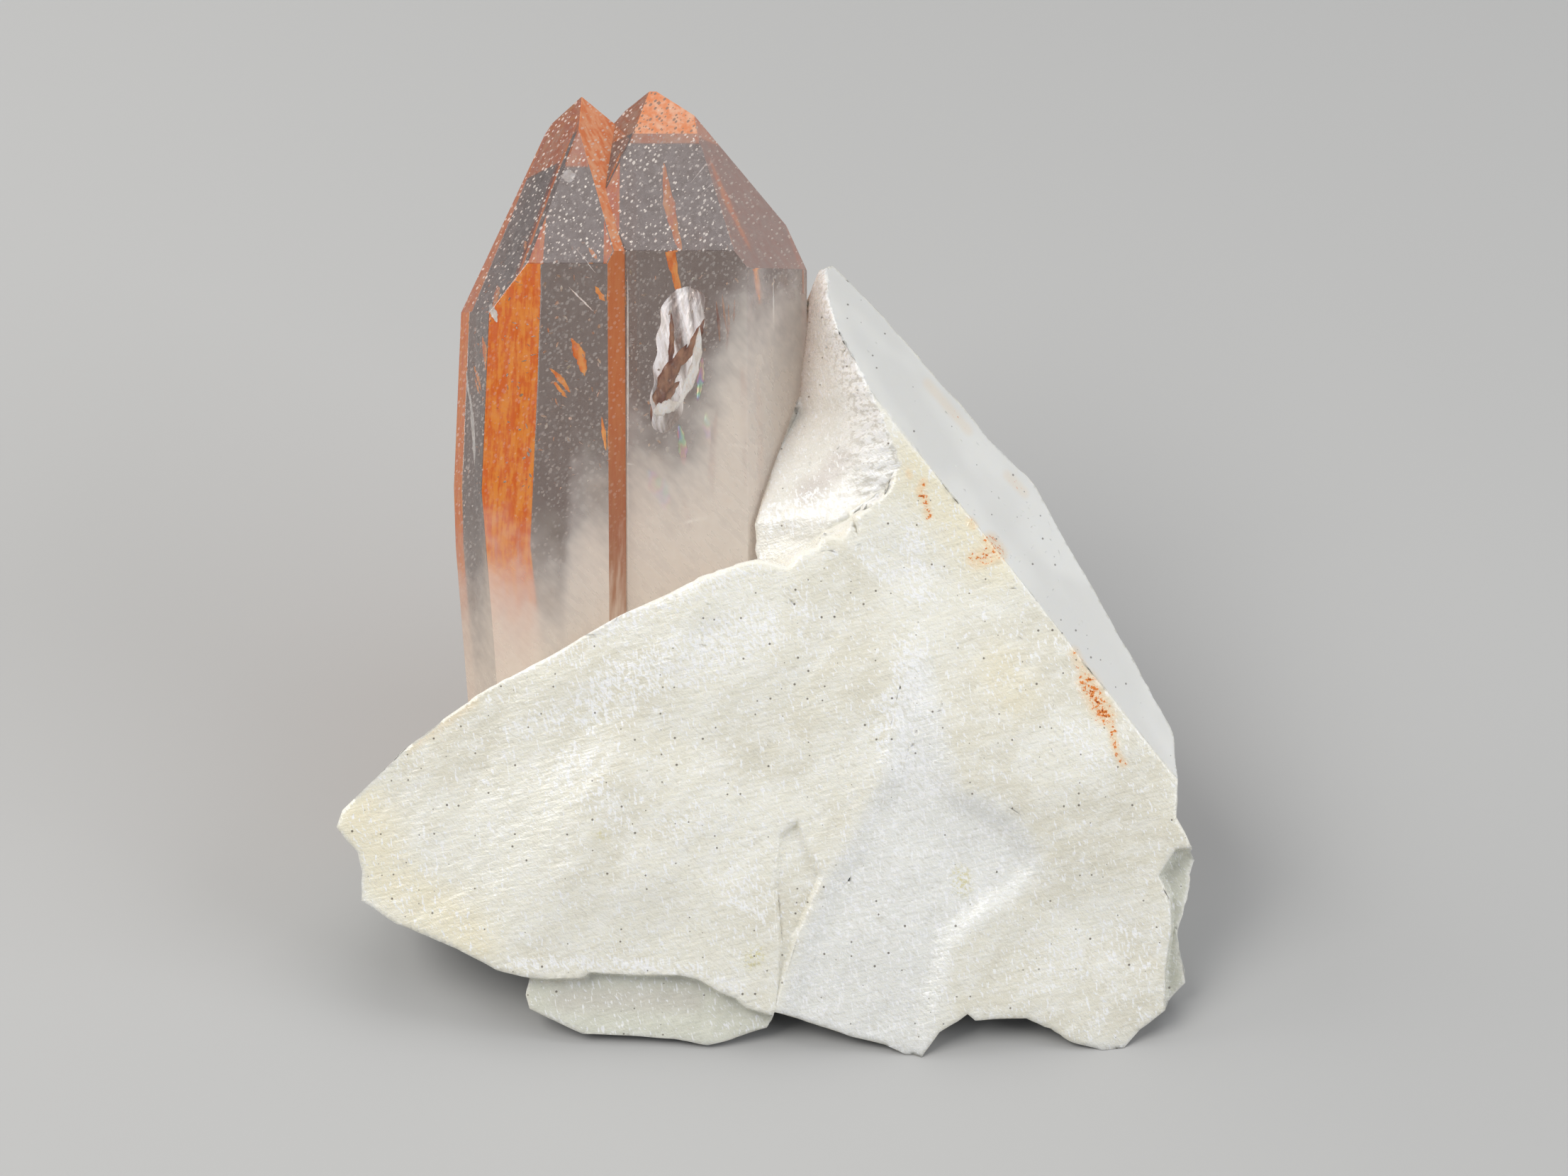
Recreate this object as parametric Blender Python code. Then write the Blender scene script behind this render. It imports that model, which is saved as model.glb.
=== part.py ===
"""Hand-sized quartz specimen: two clear crystals with an iron-oxide film, grown from a broken milky crystal.

The shape is laid out in the growth frame, in millimetres: x runs to the right, y runs away from the broken
front face and z runs up along the crystals. The specimen rests leaning back by LEAN_ANGLE on its broken base.
"""

import math

import bmesh
import bpy
import numpy as np
from mathutils import Matrix, Vector
from mathutils.geometry import delaunay_2d_cdt

MM = 0.001

# Resting pose
LEAN_ANGLE = math.radians(40.0)
FRAME_SHIFT = Vector((-0.03, -29.96, 0.0))

# Quartz angles in degrees: rise is how far a face's normal points above the crystal's equator
PRISM = 0.0
RHOMB = 38.2
TIP_RHOMB = 34.0
CORNER_FACE = 24.5
CRYSTAL_TILT = math.radians(5.0)

# Clear crystals
CRYSTAL_GAP = 0.3
LEFT_FRONT_DEPTH = 0.0
RIGHT_FRONT_DEPTH = 1.9
ROOT_SINK = 2.4

# Milky mass
FRONT_SPACING = 1.35
BLOCK_REACH = 90.0
WALL_CENTRE = (4.0, 22.0)
WALL_RINGS = (1.2, 3.2, 6.5, 11.0, 17.0, 26.0, 60.0)
WALL_TAPER = 0.0035
WALL_ROUGHNESS = 0.016


def remove_everything():
    for item in list(bpy.data.objects):
        bpy.data.objects.remove(item, do_unlink=True)


def material(name, color, roughness, transmission=0.0):
    made = bpy.data.materials.new(name)
    made.use_nodes = True
    shader = made.node_tree.nodes["Principled BSDF"]
    shader.inputs["Base Color"].default_value = (*color, 1.0)
    shader.inputs["Roughness"].default_value = roughness
    shader.inputs["Metallic"].default_value = 0.0
    shader.inputs["Transmission Weight"].default_value = transmission
    shader.inputs["IOR"].default_value = 1.544
    return made


def add_object(name, mesh, surface=None, guide=False):
    made = bpy.data.objects.new(name, mesh)
    bpy.context.collection.objects.link(made)
    made.matrix_world = resting_pose()
    if surface:
        mesh.materials.append(surface)
    if guide:
        made.hide_render = True
        made.display_type = "WIRE"
    return made


def resting_pose():
    """Growth frame in millimetres to the world in metres."""
    return Matrix.Scale(MM, 4) @ Matrix.Translation(FRAME_SHIFT) @ Matrix.Rotation(-LEAN_ANGLE, 4, "X")


def crystal_normal(azimuth, rise):
    """Outward normal of a crystal face; azimuth 0 faces the front and +90 the right."""
    turn = math.radians(azimuth)
    lift = math.radians(rise)
    upright = Vector((math.sin(turn) * math.cos(lift), -math.cos(turn) * math.cos(lift), math.sin(lift)))
    return Matrix.Rotation(CRYSTAL_TILT, 3, "X") @ upright


def convex_solid(name, planes, grow=0.0):
    """Mesh of the space behind every (point, normal) plane, each plane moved out by grow."""
    shape = bmesh.new()
    bmesh.ops.create_cube(shape, size=2.0 * BLOCK_REACH)
    for point, normal in planes:
        outward = Vector(normal).normalized()
        cut = bmesh.ops.bisect_plane(
            shape,
            geom=shape.verts[:] + shape.edges[:] + shape.faces[:],
            plane_co=Vector(point) + outward * grow,
            plane_no=outward,
            clear_outer=True,
        )
        rim = [item for item in cut["geom_cut"] if isinstance(item, bmesh.types.BMEdge)]
        bmesh.ops.contextual_create(shape, geom=rim)
    bmesh.ops.remove_doubles(shape, verts=shape.verts, dist=0.001)
    bmesh.ops.recalc_face_normals(shape, faces=shape.faces)
    mesh = bpy.data.meshes.new(name)
    shape.to_mesh(mesh)
    shape.free()
    return mesh


def boolean(target, tool, operation):
    change = target.modifiers.new(f"{operation.lower()} {tool.name}", "BOOLEAN")
    change.operation = operation
    change.object = tool
    change.solver = "EXACT"


# Back face of the milky mass, which the clear crystals grow from
BACK_LEFT_POINT = Vector((-0.8, 0.0, 40.0))
BACK_LEFT_NORMAL = Vector((-0.447, 0.295, 0.894)).normalized()


def root_plane():
    """Broken lower end of the clear crystals, sunk into the back face of the milky mass."""
    return (BACK_LEFT_POINT - BACK_LEFT_NORMAL * ROOT_SINK, -BACK_LEFT_NORMAL)


def left_crystal_planes():
    front = LEFT_FRONT_DEPTH
    corner_left = (-21.8, front + 0.3, 58.6)
    belt_left = (-22.3, front + 1.5, 43.0)
    side_left = (-24.5, 5.0, 59.5)
    belt_side = (-25.4, 6.9, 43.0)
    corner_right = (-12.5, front + 0.2, 60.0)
    faces = [
        ((-16.4, front, 62.4), 0, PRISM),
        (corner_left, -60, 2.5),
        (belt_left, -60, -3.5),
        (side_left, -120, 2.5),
        (belt_side, -120, -3.5),
        ((-15.0, 16.5, 50.0), 180, PRISM),
        (corner_right, 60, PRISM),
        ((-8.0, 13.0, 50.0), 120, PRISM),
        ((-16.4, front, 62.4), 0, RHOMB),
        (corner_left, -60, TIP_RHOMB),
        ((-12.5, front + 0.9, 64.3), 60, TIP_RHOMB),
        ((-15.6, 11.6, 77.0), 180, RHOMB),
        (side_left, -90, 20.0),
        ((-19.9, 10.0, 71.8), -90, 32.0),
    ]
    return [(point, crystal_normal(azimuth, rise)) for point, azimuth, rise in faces] + [root_plane()]


def right_crystal_planes():
    front = RIGHT_FRONT_DEPTH
    corner_right = (-1.5, front + 0.2, 62.3)
    side_right = (3.3, 10.4, 60.0)
    faces = [
        ((-6.5, front, 63.6), 0, PRISM),
        (corner_right, 60, PRISM),
        (side_right, 120, PRISM),
        ((-7.0, 18.5, 50.0), 180, PRISM),
        ((-16.0, 12.0, 50.0), -120, PRISM),
        ((-14.0, 8.0, 50.0), -60, PRISM),
        ((-6.5, front, 63.6), 0, RHOMB),
        ((-6.5, 8.3, 73.5), 0, 46.0),
        (corner_right, 60, TIP_RHOMB),
        ((-2.2, 12.1, 70.6), 120, RHOMB),
        ((2.3, 9.0, 64.8), 90, CORNER_FACE),
        ((-9.0, 12.0, 78.0), 180, RHOMB),
        ((-10.7, 8.2, 73.8), -60, RHOMB),
        ((-11.7, 14.0, 76.3), -120, RHOMB),
    ]
    return [(point, crystal_normal(azimuth, rise)) for point, azimuth, rise in faces] + [root_plane()]


def build_clear_crystal_pair():
    surface = material("clear quartz", (0.86, 0.62, 0.42), 0.05, 0.9)
    pair = add_object("clear_crystal_pair", convex_solid("left crystal", left_crystal_planes()), surface)
    right = add_object("right crystal guide", convex_solid("right crystal", right_crystal_planes()), guide=True)
    boolean(pair, right, "UNION")
    return pair


# Outline of the milky mass as seen from the front, (x, z), clockwise from the top of its upper crystal
UPPER_CRYSTAL_RIGHT = [
    (5.3, 63.3), (6.8, 62.0), (9.7, 59.0), (12.7, 55.6), (15.6, 52.5), (18.6, 49.0), (21.6, 46.1), (23.1, 44.3),
    (24.4, 41.8), (27.1, 36.2), (29.8, 31.5), (31.8, 27.0), (32.5, 25.1),
]
RIGHT_END = [
    (32.3, 21.9), (32.1, 19.0), (32.9, 17.5), (33.9, 15.3), (33.4, 14.3), (33.3, 10.8), (33.6, 6.1), (32.3, 4.7),
    (31.5, 3.9), (29.3, 2.2), (28.2, 0.9), (27.7, 0.2),
]
BOTTOM_EDGE = [
    (26.0, 0.7), (23.8, 1.4), (22.4, 2.4), (20.4, 3.2), (16.3, 3.1), (15.7, 3.6), (13.5, 2.2), (12.1, 0.1),
    (11.5, 0.0), (9.3, 1.1), (6.5, 1.8), (2.7, 3.1), (0.6, 3.8), (0.0, 2.4), (-3.2, 1.4), (-4.6, 1.1),
    (-7.3, 1.5), (-14.5, 1.9), (-17.1, 3.1), (-18.7, 3.9), (-19.0, 5.0), (-18.6, 6.4),
]
LEFT_LOBE = [
    (-21.2, 7.1), (-24.3, 8.7), (-26.8, 9.7), (-29.1, 10.6), (-30.9, 11.9), (-31.9, 12.4), (-31.8, 14.7),
    (-32.1, 16.2), (-33.8, 18.2), (-33.1, 20.2), (-31.4, 21.7), (-28.2, 24.5), (-25.4, 26.7), (-23.4, 28.0),
]
BACK_EDGE = [(-21.2, 29.4), (-16.8, 31.8), (-11.2, 35.0), (-5.7, 37.5), (-2.6, 38.7), (-0.8, 39.3)]
UPPER_CRYSTAL_LEFT = [(-1.0, 42.0), (0.4, 47.0), (2.4, 54.0), (3.0, 60.0), (4.2, 62.9)]


def front_outline():
    return UPPER_CRYSTAL_RIGHT + RIGHT_END + BOTTOM_EDGE + LEFT_LOBE + BACK_EDGE + UPPER_CRYSTAL_LEFT


# Ridge between the recessed face and the smooth side face of the upper crystal, (x, z)
RIDGE = [(4.8, 63.2), (4.9, 60.1), (5.6, 57.5), (6.9, 55.0), (9.0, 50.6), (10.4, 46.7)]

# Where the recessed face runs into the right clear crystal, (x, y, z) upward
RECESS_FOOT = [(-0.9, 3.6, 39.0), (-0.7, 4.0, 42.5), (0.6, 6.4, 47.0), (2.3, 9.0, 51.0), (3.2, 10.8, 60.5)]

# Step line where the recessed face drops behind the broken front face, (x, z)
STEP_LINE = [(10.4, 46.7), (9.2, 44.3), (6.7, 42.7), (4.6, 41.5), (3.2, 40.4), (0.4, 39.2), (-0.9, 39.1)]

# Smooth side face: depth grows by SIDE_SLOPE for each millimetre across SIDE_ACROSS
SIDE_POINT = (11.3, 47.9)
SIDE_ACROSS = (0.780, 0.626)
SIDE_SLOPE = 2.1

# Regions of the front that stand back or forward: outline, drop at the edge, width of the bank
LOWER_LEDGE = [
    (-19.6, 6.6), (-17.3, 6.4), (-14.5, 6.5), (-13.9, 6.9), (-9.7, 6.7), (-6.9, 6.7), (-5.4, 6.4), (-3.6, 5.4),
    (-2.4, 5.0), (-1.6, 4.2), (0.5, 3.6), (0.5, -2.0), (-19.6, -2.0),
]
RIGHT_LEDGE = [
    (32.0, 16.6), (30.6, 14.4), (31.5, 12.6), (31.6, 10.2), (31.2, 7.0), (31.3, 3.0), (40.0, 0.0), (40.0, 17.0),
]
FAN = [
    (12.9, 31.5), (10.9, 31.5), (8.8, 22.3), (7.6, 20.2), (6.1, 17.1), (4.4, 14.4), (2.4, 9.7), (0.6, 3.8), (0.8, -2.0),
    (12.9, -2.0), (13.8, 4.2), (14.9, 8.9), (17.7, 11.1), (19.9, 12.5), (21.8, 14.7), (21.3, 16.9), (19.9, 19.2),
    (17.7, 20.6), (15.2, 21.4), (13.8, 27.5),
]
HEEL_CHIP = [(0.9, 17.7), (0.4, 13.4), (0.8, 9.1), (0.6, 3.8), (2.4, 9.7), (4.4, 14.4), (2.4, 18.9)]
REGIONS = [
    (LOWER_LEDGE, 1.1, 0.35),
    (RIGHT_LEDGE, 2.2, 0.6),
    (FAN, 0.75, 1.8),
    (HEEL_CHIP, 0.4, 0.4),
]

# Scooped breaks on the back, the right end and the base: centre (x, y, z), radius
SCOOPS = [
    ((51.5, 9.0, 9.5), 20.0),
    ((26.5, 36.5, 45.7), 20.0),
    ((3.7, 42.8, 30.9), 16.0),
    ((-36.1, 28.7, 15.4), 14.0),
    ((-18.8, 38.3, 20.6), 15.0),
    ((-5.0, 24.0, 0.5), 16.0),
    ((21.0, 13.2, -3.6), 12.0),
]


def polygon_distance(points, corners):
    """Distance of each point to a closed polygon, positive inside."""
    inside = np.zeros(len(points), bool)
    nearest = np.full(len(points), 1e9)
    for start, end in zip(corners, np.roll(corners, -1, axis=0)):
        run = end - start
        along = np.clip(((points - start) @ run) / (run @ run), 0.0, 1.0)
        nearest = np.minimum(nearest, np.linalg.norm(points - start - along[:, None] * run, axis=1))
        crosses = (start[1] > points[:, 1]) != (end[1] > points[:, 1])
        rise = np.where(end[1] == start[1], 1e-9, end[1] - start[1])
        reach = start[0] + (points[:, 1] - start[1]) / rise * run[0]
        inside ^= crosses & (points[:, 0] < reach)
    return np.where(inside, nearest, -nearest)


def patchy_noise(points, size, turn, seed):
    """Noise from -1 to 1 in flattish patches about size millimetres across, laid out at a turn in degrees."""
    table = np.random.default_rng(seed).uniform(-1.0, 1.0, (64, 64))
    cosine, sine = math.cos(math.radians(turn)), math.sin(math.radians(turn))
    grid = points @ np.array([[cosine, sine], [-sine, cosine]]) / size + 32.0
    cell = np.floor(grid).astype(int)
    blend = grid - cell
    low = table[cell[:, 0] % 64, cell[:, 1] % 64] * (1 - blend[:, 0]) + (
        table[(cell[:, 0] + 1) % 64, cell[:, 1] % 64] * blend[:, 0])
    high = table[cell[:, 0] % 64, (cell[:, 1] + 1) % 64] * (1 - blend[:, 0]) + (
        table[(cell[:, 0] + 1) % 64, (cell[:, 1] + 1) % 64] * blend[:, 0])
    return low * (1 - blend[:, 1]) + high * blend[:, 1]


def recess_corners():
    return np.array(RIDGE + STEP_LINE[1:] + UPPER_CRYSTAL_LEFT)


def recess_depth(points):
    """Recessed left face of the upper crystal: a twisted surface between its ridge and the clear crystal."""
    x, z = points[:, 0], points[:, 1]
    ridge = np.array(RIDGE)[::-1]
    ridge_x = np.interp(z, ridge[:, 1], ridge[:, 0])
    ridge_y = outer_depth(np.stack([ridge_x, np.maximum(z, ridge[0, 1])], axis=1))
    foot = np.array(RECESS_FOOT)
    foot_x = np.interp(z, foot[:, 2], foot[:, 0])
    foot_y = np.interp(z, foot[:, 2], foot[:, 1])
    across = np.clip((ridge_x - x) / (ridge_x - foot_x), 0.0, 1.4)
    rough = 0.3 * patchy_noise(points, 2.6, 20, 5) * np.clip(6.0 * across, 0.0, 1.0)
    return ridge_y + (foot_y - ridge_y) * across + rough


def broken_depth(points):
    """Depth of the broad broken face, a shallow belly with soft waves, chips and ledges."""
    x, z = points[:, 0], points[:, 1]
    belly = ((x + 2.0) / 34.0) ** 2 + ((z - 20.0) / 26.0) ** 2
    depth = 1.2 * belly - 0.9
    depth += 0.5 * patchy_noise(points, 10.0, 25, 1) + 0.22 * patchy_noise(points, 4.2, -35, 2)
    for corners, drop, bank in REGIONS:
        inward = polygon_distance(points, np.array(corners))
        depth += drop * np.clip(inward / bank, 0.0, 1.0)
    return depth


def side_depth(points):
    """Depth of the smooth side face of the upper crystal."""
    return SIDE_SLOPE * ((points - np.array(SIDE_POINT)) @ np.array(SIDE_ACROSS))


def outer_depth(points):
    """Depth of the broken face or the side face, whichever lies further back."""
    return np.maximum(broken_depth(points), side_depth(points))


def front_depth(points):
    """Depth of the visible surface behind the front plane at each (x, z)."""
    x, z = points[:, 0], points[:, 1]
    depth = outer_depth(points)
    recess = polygon_distance(points, recess_corners())
    proud = z > np.interp(x, [p[0] for p in STEP_LINE[::-1]], [p[1] for p in STEP_LINE[::-1]])
    return np.where((recess > -0.01) & proud, recess_depth(points), depth)


def inset(corners, distance):
    """Closed polygon moved inward by a distance, corner by corner."""
    corners = np.array(corners, float)
    before = corners - np.roll(corners, 1, axis=0)
    after = np.roll(corners, -1, axis=0) - corners
    before /= np.linalg.norm(before, axis=1)[:, None]
    after /= np.linalg.norm(after, axis=1)[:, None]
    area = np.sum(corners[:, 0] * np.roll(corners[:, 1], -1) - np.roll(corners[:, 0], -1) * corners[:, 1])
    along = before + after
    along /= np.maximum(np.linalg.norm(along, axis=1), 1e-6)[:, None]
    inward = np.stack([-along[:, 1], along[:, 0]], axis=1) * math.copysign(1.0, area)
    return corners + inward * distance


def front_mesh_points():
    """Outline, feature lines and filling points for the triangulated front."""
    outline = np.array(front_outline())
    rng = np.random.default_rng(11)
    columns = np.arange(-36.0, 36.0, FRONT_SPACING)
    rows = np.arange(-1.0, 66.0, FRONT_SPACING * 0.866)
    filling = np.array([(x + 0.5 * FRONT_SPACING * (row % 2), z) for row, z in enumerate(rows) for x in columns])
    filling += rng.uniform(-0.3, 0.3, filling.shape) * FRONT_SPACING
    filling = filling[polygon_distance(filling, outline) > 0.5 * FRONT_SPACING]
    lines = [RIDGE, STEP_LINE, [(x - 0.25, z + 0.3) for x, z in STEP_LINE[1:]]]
    lines.append(side_crease())
    loops = []
    for corners, _, bank in REGIONS:
        loops.append(np.array(corners, float))
        loops.append(inset(corners, bank))
    return outline, filling, lines, loops


def side_crease():
    """Points where the smooth side face meets the broken front face, found by halving along its slope."""
    across = np.array(SIDE_ACROSS)
    strike = np.array([across[1], -across[0]])
    starts = np.array(SIDE_POINT) + np.arange(0.3, 31.0, 1.1)[:, None] * strike
    low = np.full(len(starts), -6.0)
    high = np.full(len(starts), 6.0)
    for _ in range(24):
        middle = 0.5 * (low + high)
        tested = starts + middle[:, None] * across
        beyond = side_depth(tested) > broken_depth(tested)
        high = np.where(beyond, middle, high)
        low = np.where(beyond, low, middle)
    crease = starts + low[:, None] * across
    return crease[polygon_distance(crease, np.array(front_outline())) > 0.2]


def triangulated_front():
    outline, filling, lines, loops = front_mesh_points()
    points = [Vector(p) for p in outline]
    edges = []
    for line in lines:
        start = len(points)
        points += [Vector(p) for p in line]
        edges += [(start + i, start + i + 1) for i in range(len(line) - 1)]
    for loop in loops:
        start = len(points)
        points += [Vector(p) for p in loop]
        edges += [(start + i, start + (i + 1) % len(loop)) for i in range(len(loop))]
    points += [Vector(p) for p in filling]
    border = [list(range(len(outline)))[::-1]]
    flat, _, triangles, _, _, owners = delaunay_2d_cdt(points, edges, border, 0, 0.02)
    kept = [triangle for triangle, owner in zip(triangles, owners) if owner]
    return np.array([tuple(p) for p in flat]), kept


def wall_ring(rim, behind):
    """The rim moved back, drawn in a little toward WALL_CENTRE and roughened like a break."""
    centre = np.array(WALL_CENTRE)
    flat = rim[:, [0, 2]]
    bearing = np.degrees(np.arctan2(flat[:, 1] - centre[1], flat[:, 0] - centre[0]))
    places = np.stack([bearing / 7.0, np.full(len(rim), behind / 3.0)], axis=1)
    rough = 0.5 + 0.5 * patchy_noise(places, 1.0, 0, 9)
    shrink = 1.0 - WALL_TAPER * behind - WALL_ROUGHNESS * rough
    drawn = centre + (flat - centre) * shrink[:, None]
    return np.stack([drawn[:, 0], rim[:, 1] + behind, drawn[:, 1]], axis=1)


def ordered_rim(shape):
    """Border vertices of an open surface, in order."""
    start = next(vert for vert in shape.verts if vert.is_boundary)
    rim = [start]
    edge = next(edge for edge in start.link_edges if edge.is_boundary)
    while True:
        vert = edge.other_vert(rim[-1])
        if vert == start:
            return rim
        rim.append(vert)
        edge = next(other for other in vert.link_edges if other.is_boundary and other != edge)


def front_block():
    """Closed block whose front is the visible surface and whose rough walls run back from its rim."""
    flat, triangles = triangulated_front()
    depth = front_depth(flat)
    shape = bmesh.new()
    front = [shape.verts.new((x, y, z)) for (x, z), y in zip(flat, depth)]
    for triangle in triangles:
        shape.faces.new([front[i] for i in triangle])
    loose = [vert for vert in shape.verts if not vert.link_faces]
    bmesh.ops.delete(shape, geom=loose, context="VERTS")
    near = ordered_rim(shape)
    rim = np.array([tuple(vert.co) for vert in near])
    count = len(near)
    for step, behind in enumerate(WALL_RINGS):
        far = [shape.verts.new(tuple(place)) for place in wall_ring(rim, behind)]
        for i in range(count):
            j = (i + 1) % count
            quad = [near[i], near[j], far[j], far[i]]
            turned = quad[step % 2:] + quad[:step % 2]
            shape.faces.new(turned[:3])
            shape.faces.new([turned[0], turned[2], turned[3]])
        near = far
    shape.faces.new(near)
    bmesh.ops.recalc_face_normals(shape, faces=shape.faces)
    mesh = bpy.data.meshes.new("milky front")
    shape.to_mesh(mesh)
    shape.free()
    return mesh


FLOOR_NORMAL = Vector((0.0, math.sin(LEAN_ANGLE), -math.cos(LEAN_ANGLE)))


def back_planes():
    """Back of the milky mass: crystal faces, broken ends and the flat broken base."""
    return [
        ((5.3, 11.2, 63.3), (0.35, 0.78, 0.52)),
        ((32.5, 5.4, 25.1), (0.86, 0.455, 0.232)),
        ((0.0, 29.0, 24.3), (0.05, 0.9, 0.4)),
        ((0.0, 0.0, 0.0), FLOOR_NORMAL),
    ]


def above_back_left_planes():
    """Space over the back-left crystal face, up to the side of the upper crystal."""
    return [(BACK_LEFT_POINT, -BACK_LEFT_NORMAL), ((1.5, 12.0, 50.0), (0.95, -0.2, -0.1))]


def above_lobe_planes():
    """Space over the steeper crystal face on the back of the left lobe."""
    return [((-23.4, 0.0, 29.0), (0.686, -0.24, -0.728)), ((-12.0, 0.0, 30.0), (1.0, 0.0, 0.0))]


def scoop_mesh(centre, radius):
    shape = bmesh.new()
    bmesh.ops.create_icosphere(shape, subdivisions=3, radius=radius, matrix=Matrix.Translation(centre))
    mesh = bpy.data.meshes.new("scoop")
    shape.to_mesh(mesh)
    shape.free()
    return mesh


def build_milky_quartz():
    surface = material("milky quartz", (0.80, 0.76, 0.64), 0.45)
    mass = add_object("milky_quartz", front_block(), surface)
    boolean(mass, add_object("back guide", convex_solid("back", back_planes()), guide=True), "INTERSECT")
    for name, planes in (("back left cut", above_back_left_planes()), ("lobe cut", above_lobe_planes())):
        boolean(mass, add_object(name, convex_solid(name, planes), guide=True), "DIFFERENCE")
    for number, (centre, radius) in enumerate(SCOOPS, 1):
        boolean(mass, add_object(f"scoop {number}", scoop_mesh(centre, radius), guide=True), "DIFFERENCE")
    for side, planes in (("left", left_crystal_planes()), ("right", right_crystal_planes())):
        socket = add_object(f"{side} socket", convex_solid(f"{side} socket", planes, CRYSTAL_GAP), guide=True)
        boolean(mass, socket, "DIFFERENCE")
    return mass


def main():
    remove_everything()
    build_clear_crystal_pair()
    build_milky_quartz()


main()
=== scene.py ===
"""Looks of a quartz specimen: two clear crystals with an iron-oxide film, grown from a broken milky crystal.

Shapes are worked out in the growth frame, in millimetres: x runs to the right, y runs away from the broken
front and z runs up along the crystals. GROWTH_TO_WORLD takes them to the row frame, in metres.
"""

import functools
import itertools
import math

import bmesh
import bpy
import numpy as np
from mathutils import Matrix, Vector
from mathutils.bvhtree import BVHTree


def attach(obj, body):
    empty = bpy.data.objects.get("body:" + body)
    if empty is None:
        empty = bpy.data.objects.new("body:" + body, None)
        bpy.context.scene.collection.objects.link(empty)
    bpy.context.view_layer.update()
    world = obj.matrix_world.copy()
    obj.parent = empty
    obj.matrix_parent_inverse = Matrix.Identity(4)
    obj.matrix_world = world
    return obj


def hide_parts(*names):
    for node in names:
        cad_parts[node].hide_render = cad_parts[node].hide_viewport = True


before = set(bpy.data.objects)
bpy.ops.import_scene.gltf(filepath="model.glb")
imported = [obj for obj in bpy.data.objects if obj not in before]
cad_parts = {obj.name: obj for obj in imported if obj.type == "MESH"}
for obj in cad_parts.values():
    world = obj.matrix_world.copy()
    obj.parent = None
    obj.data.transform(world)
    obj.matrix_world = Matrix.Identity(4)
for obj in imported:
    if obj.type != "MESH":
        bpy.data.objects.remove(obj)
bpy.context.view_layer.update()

MM = 0.001
LEAN_ANGLE = math.radians(40.0)
FRAME_SHIFT = Vector((-0.03, -29.96, 0.0))
CRYSTAL_TILT = math.radians(5.0)
GROWTH_TO_WORLD = Matrix.Scale(MM, 4) @ Matrix.Translation(FRAME_SHIFT) @ Matrix.Rotation(-LEAN_ANGLE, 4, "X")

# Camera: straight at the broken front, placed in the growth frame
CAMERA_PLACE = Vector((1.33, -240.0, 36.97))
PHOTO_WIDTH = 2212
FOCAL_PIXELS = 4320
SENSOR_WIDTH = 36.0

QUARTZ_IOR = 1.544


# Noise and outlines

LUMP_CELLS = 32
PATCH_CELLS = 64
FAR = 1e9


def cosine_and_sine(degrees):
    return math.cos(math.radians(degrees)), math.sin(math.radians(degrees))


def lump_noise(points, size, seed, stretch=(1.0, 1.0, 1.0), turn=0.0):
    """Smooth noise from -1 to 1 at (n, 3) points, in lumps of size times stretch, turned in the x-z plane."""
    table = np.random.default_rng(seed).uniform(-1.0, 1.0, (LUMP_CELLS, LUMP_CELLS, LUMP_CELLS))
    cosine, sine = cosine_and_sine(turn)
    x, y, z = points.T
    turned = np.stack([x * cosine + z * sine, y, z * cosine - x * sine], axis=1)
    grid = turned / (size * np.array(stretch))
    cell = np.floor(grid).astype(int)
    blend = grid - cell
    blend = blend * blend * (3.0 - 2.0 * blend)
    total = np.zeros(len(points))
    for corner in itertools.product((0, 1), repeat=3):
        weight = np.prod(np.where(corner, blend, 1.0 - blend), axis=1)
        index = (cell + corner) % LUMP_CELLS
        total += weight * table[index[:, 0], index[:, 1], index[:, 2]]
    return total


def patchy_noise(points, size, turn, seed):
    """Noise from -1 to 1 in flattish patches about size millimetres across, turned by some degrees."""
    table = np.random.default_rng(seed).uniform(-1.0, 1.0, (PATCH_CELLS, PATCH_CELLS))
    cosine, sine = cosine_and_sine(turn)
    grid = points @ np.array([[cosine, sine], [-sine, cosine]]) / size + PATCH_CELLS / 2
    cell = np.floor(grid).astype(int)
    blend_x, blend_z = (grid - cell).T
    left, right = cell[:, 0] % PATCH_CELLS, (cell[:, 0] + 1) % PATCH_CELLS
    low, high = [
        table[left, row % PATCH_CELLS] * (1 - blend_x) + table[right, row % PATCH_CELLS] * blend_x
        for row in (cell[:, 1], cell[:, 1] + 1)
    ]
    return low * (1 - blend_z) + high * blend_z


def line_distance(points, line):
    """Distance of each (x, z) point to an open line of corners."""
    corners = np.array(line, float)
    nearest = np.full(len(points), FAR)
    for start, end in zip(corners[:-1], corners[1:]):
        run = end - start
        along = np.clip(((points - start) @ run) / (run @ run), 0.0, 1.0)
        nearest = np.minimum(nearest, np.linalg.norm(points - start - along[:, None] * run, axis=1))
    return nearest


def polygon_distance(points, corners):
    """Distance of each (x, z) point to a closed polygon, positive inside."""
    closed = np.array([*corners, corners[0]], float)
    nearest = line_distance(points, closed)
    inside = np.zeros(len(points), bool)
    for start, end in zip(closed[:-1], closed[1:]):
        crosses = (start[1] > points[:, 1]) != (end[1] > points[:, 1])
        rise = np.where(end[1] == start[1], 1.0 / FAR, end[1] - start[1])
        reach = start[0] + (points[:, 1] - start[1]) / rise * (end[0] - start[0])
        inside ^= crosses & (points[:, 0] < reach)
    return np.where(inside, nearest, -nearest)


def smooth_step(low, high, value):
    part = np.clip((value - low) / (high - low), 0.0, 1.0)
    return part * part * (3.0 - 2.0 * part)


# Front of the milky mass: the lines (x, z) that its solid follows, with softened banks

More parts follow.
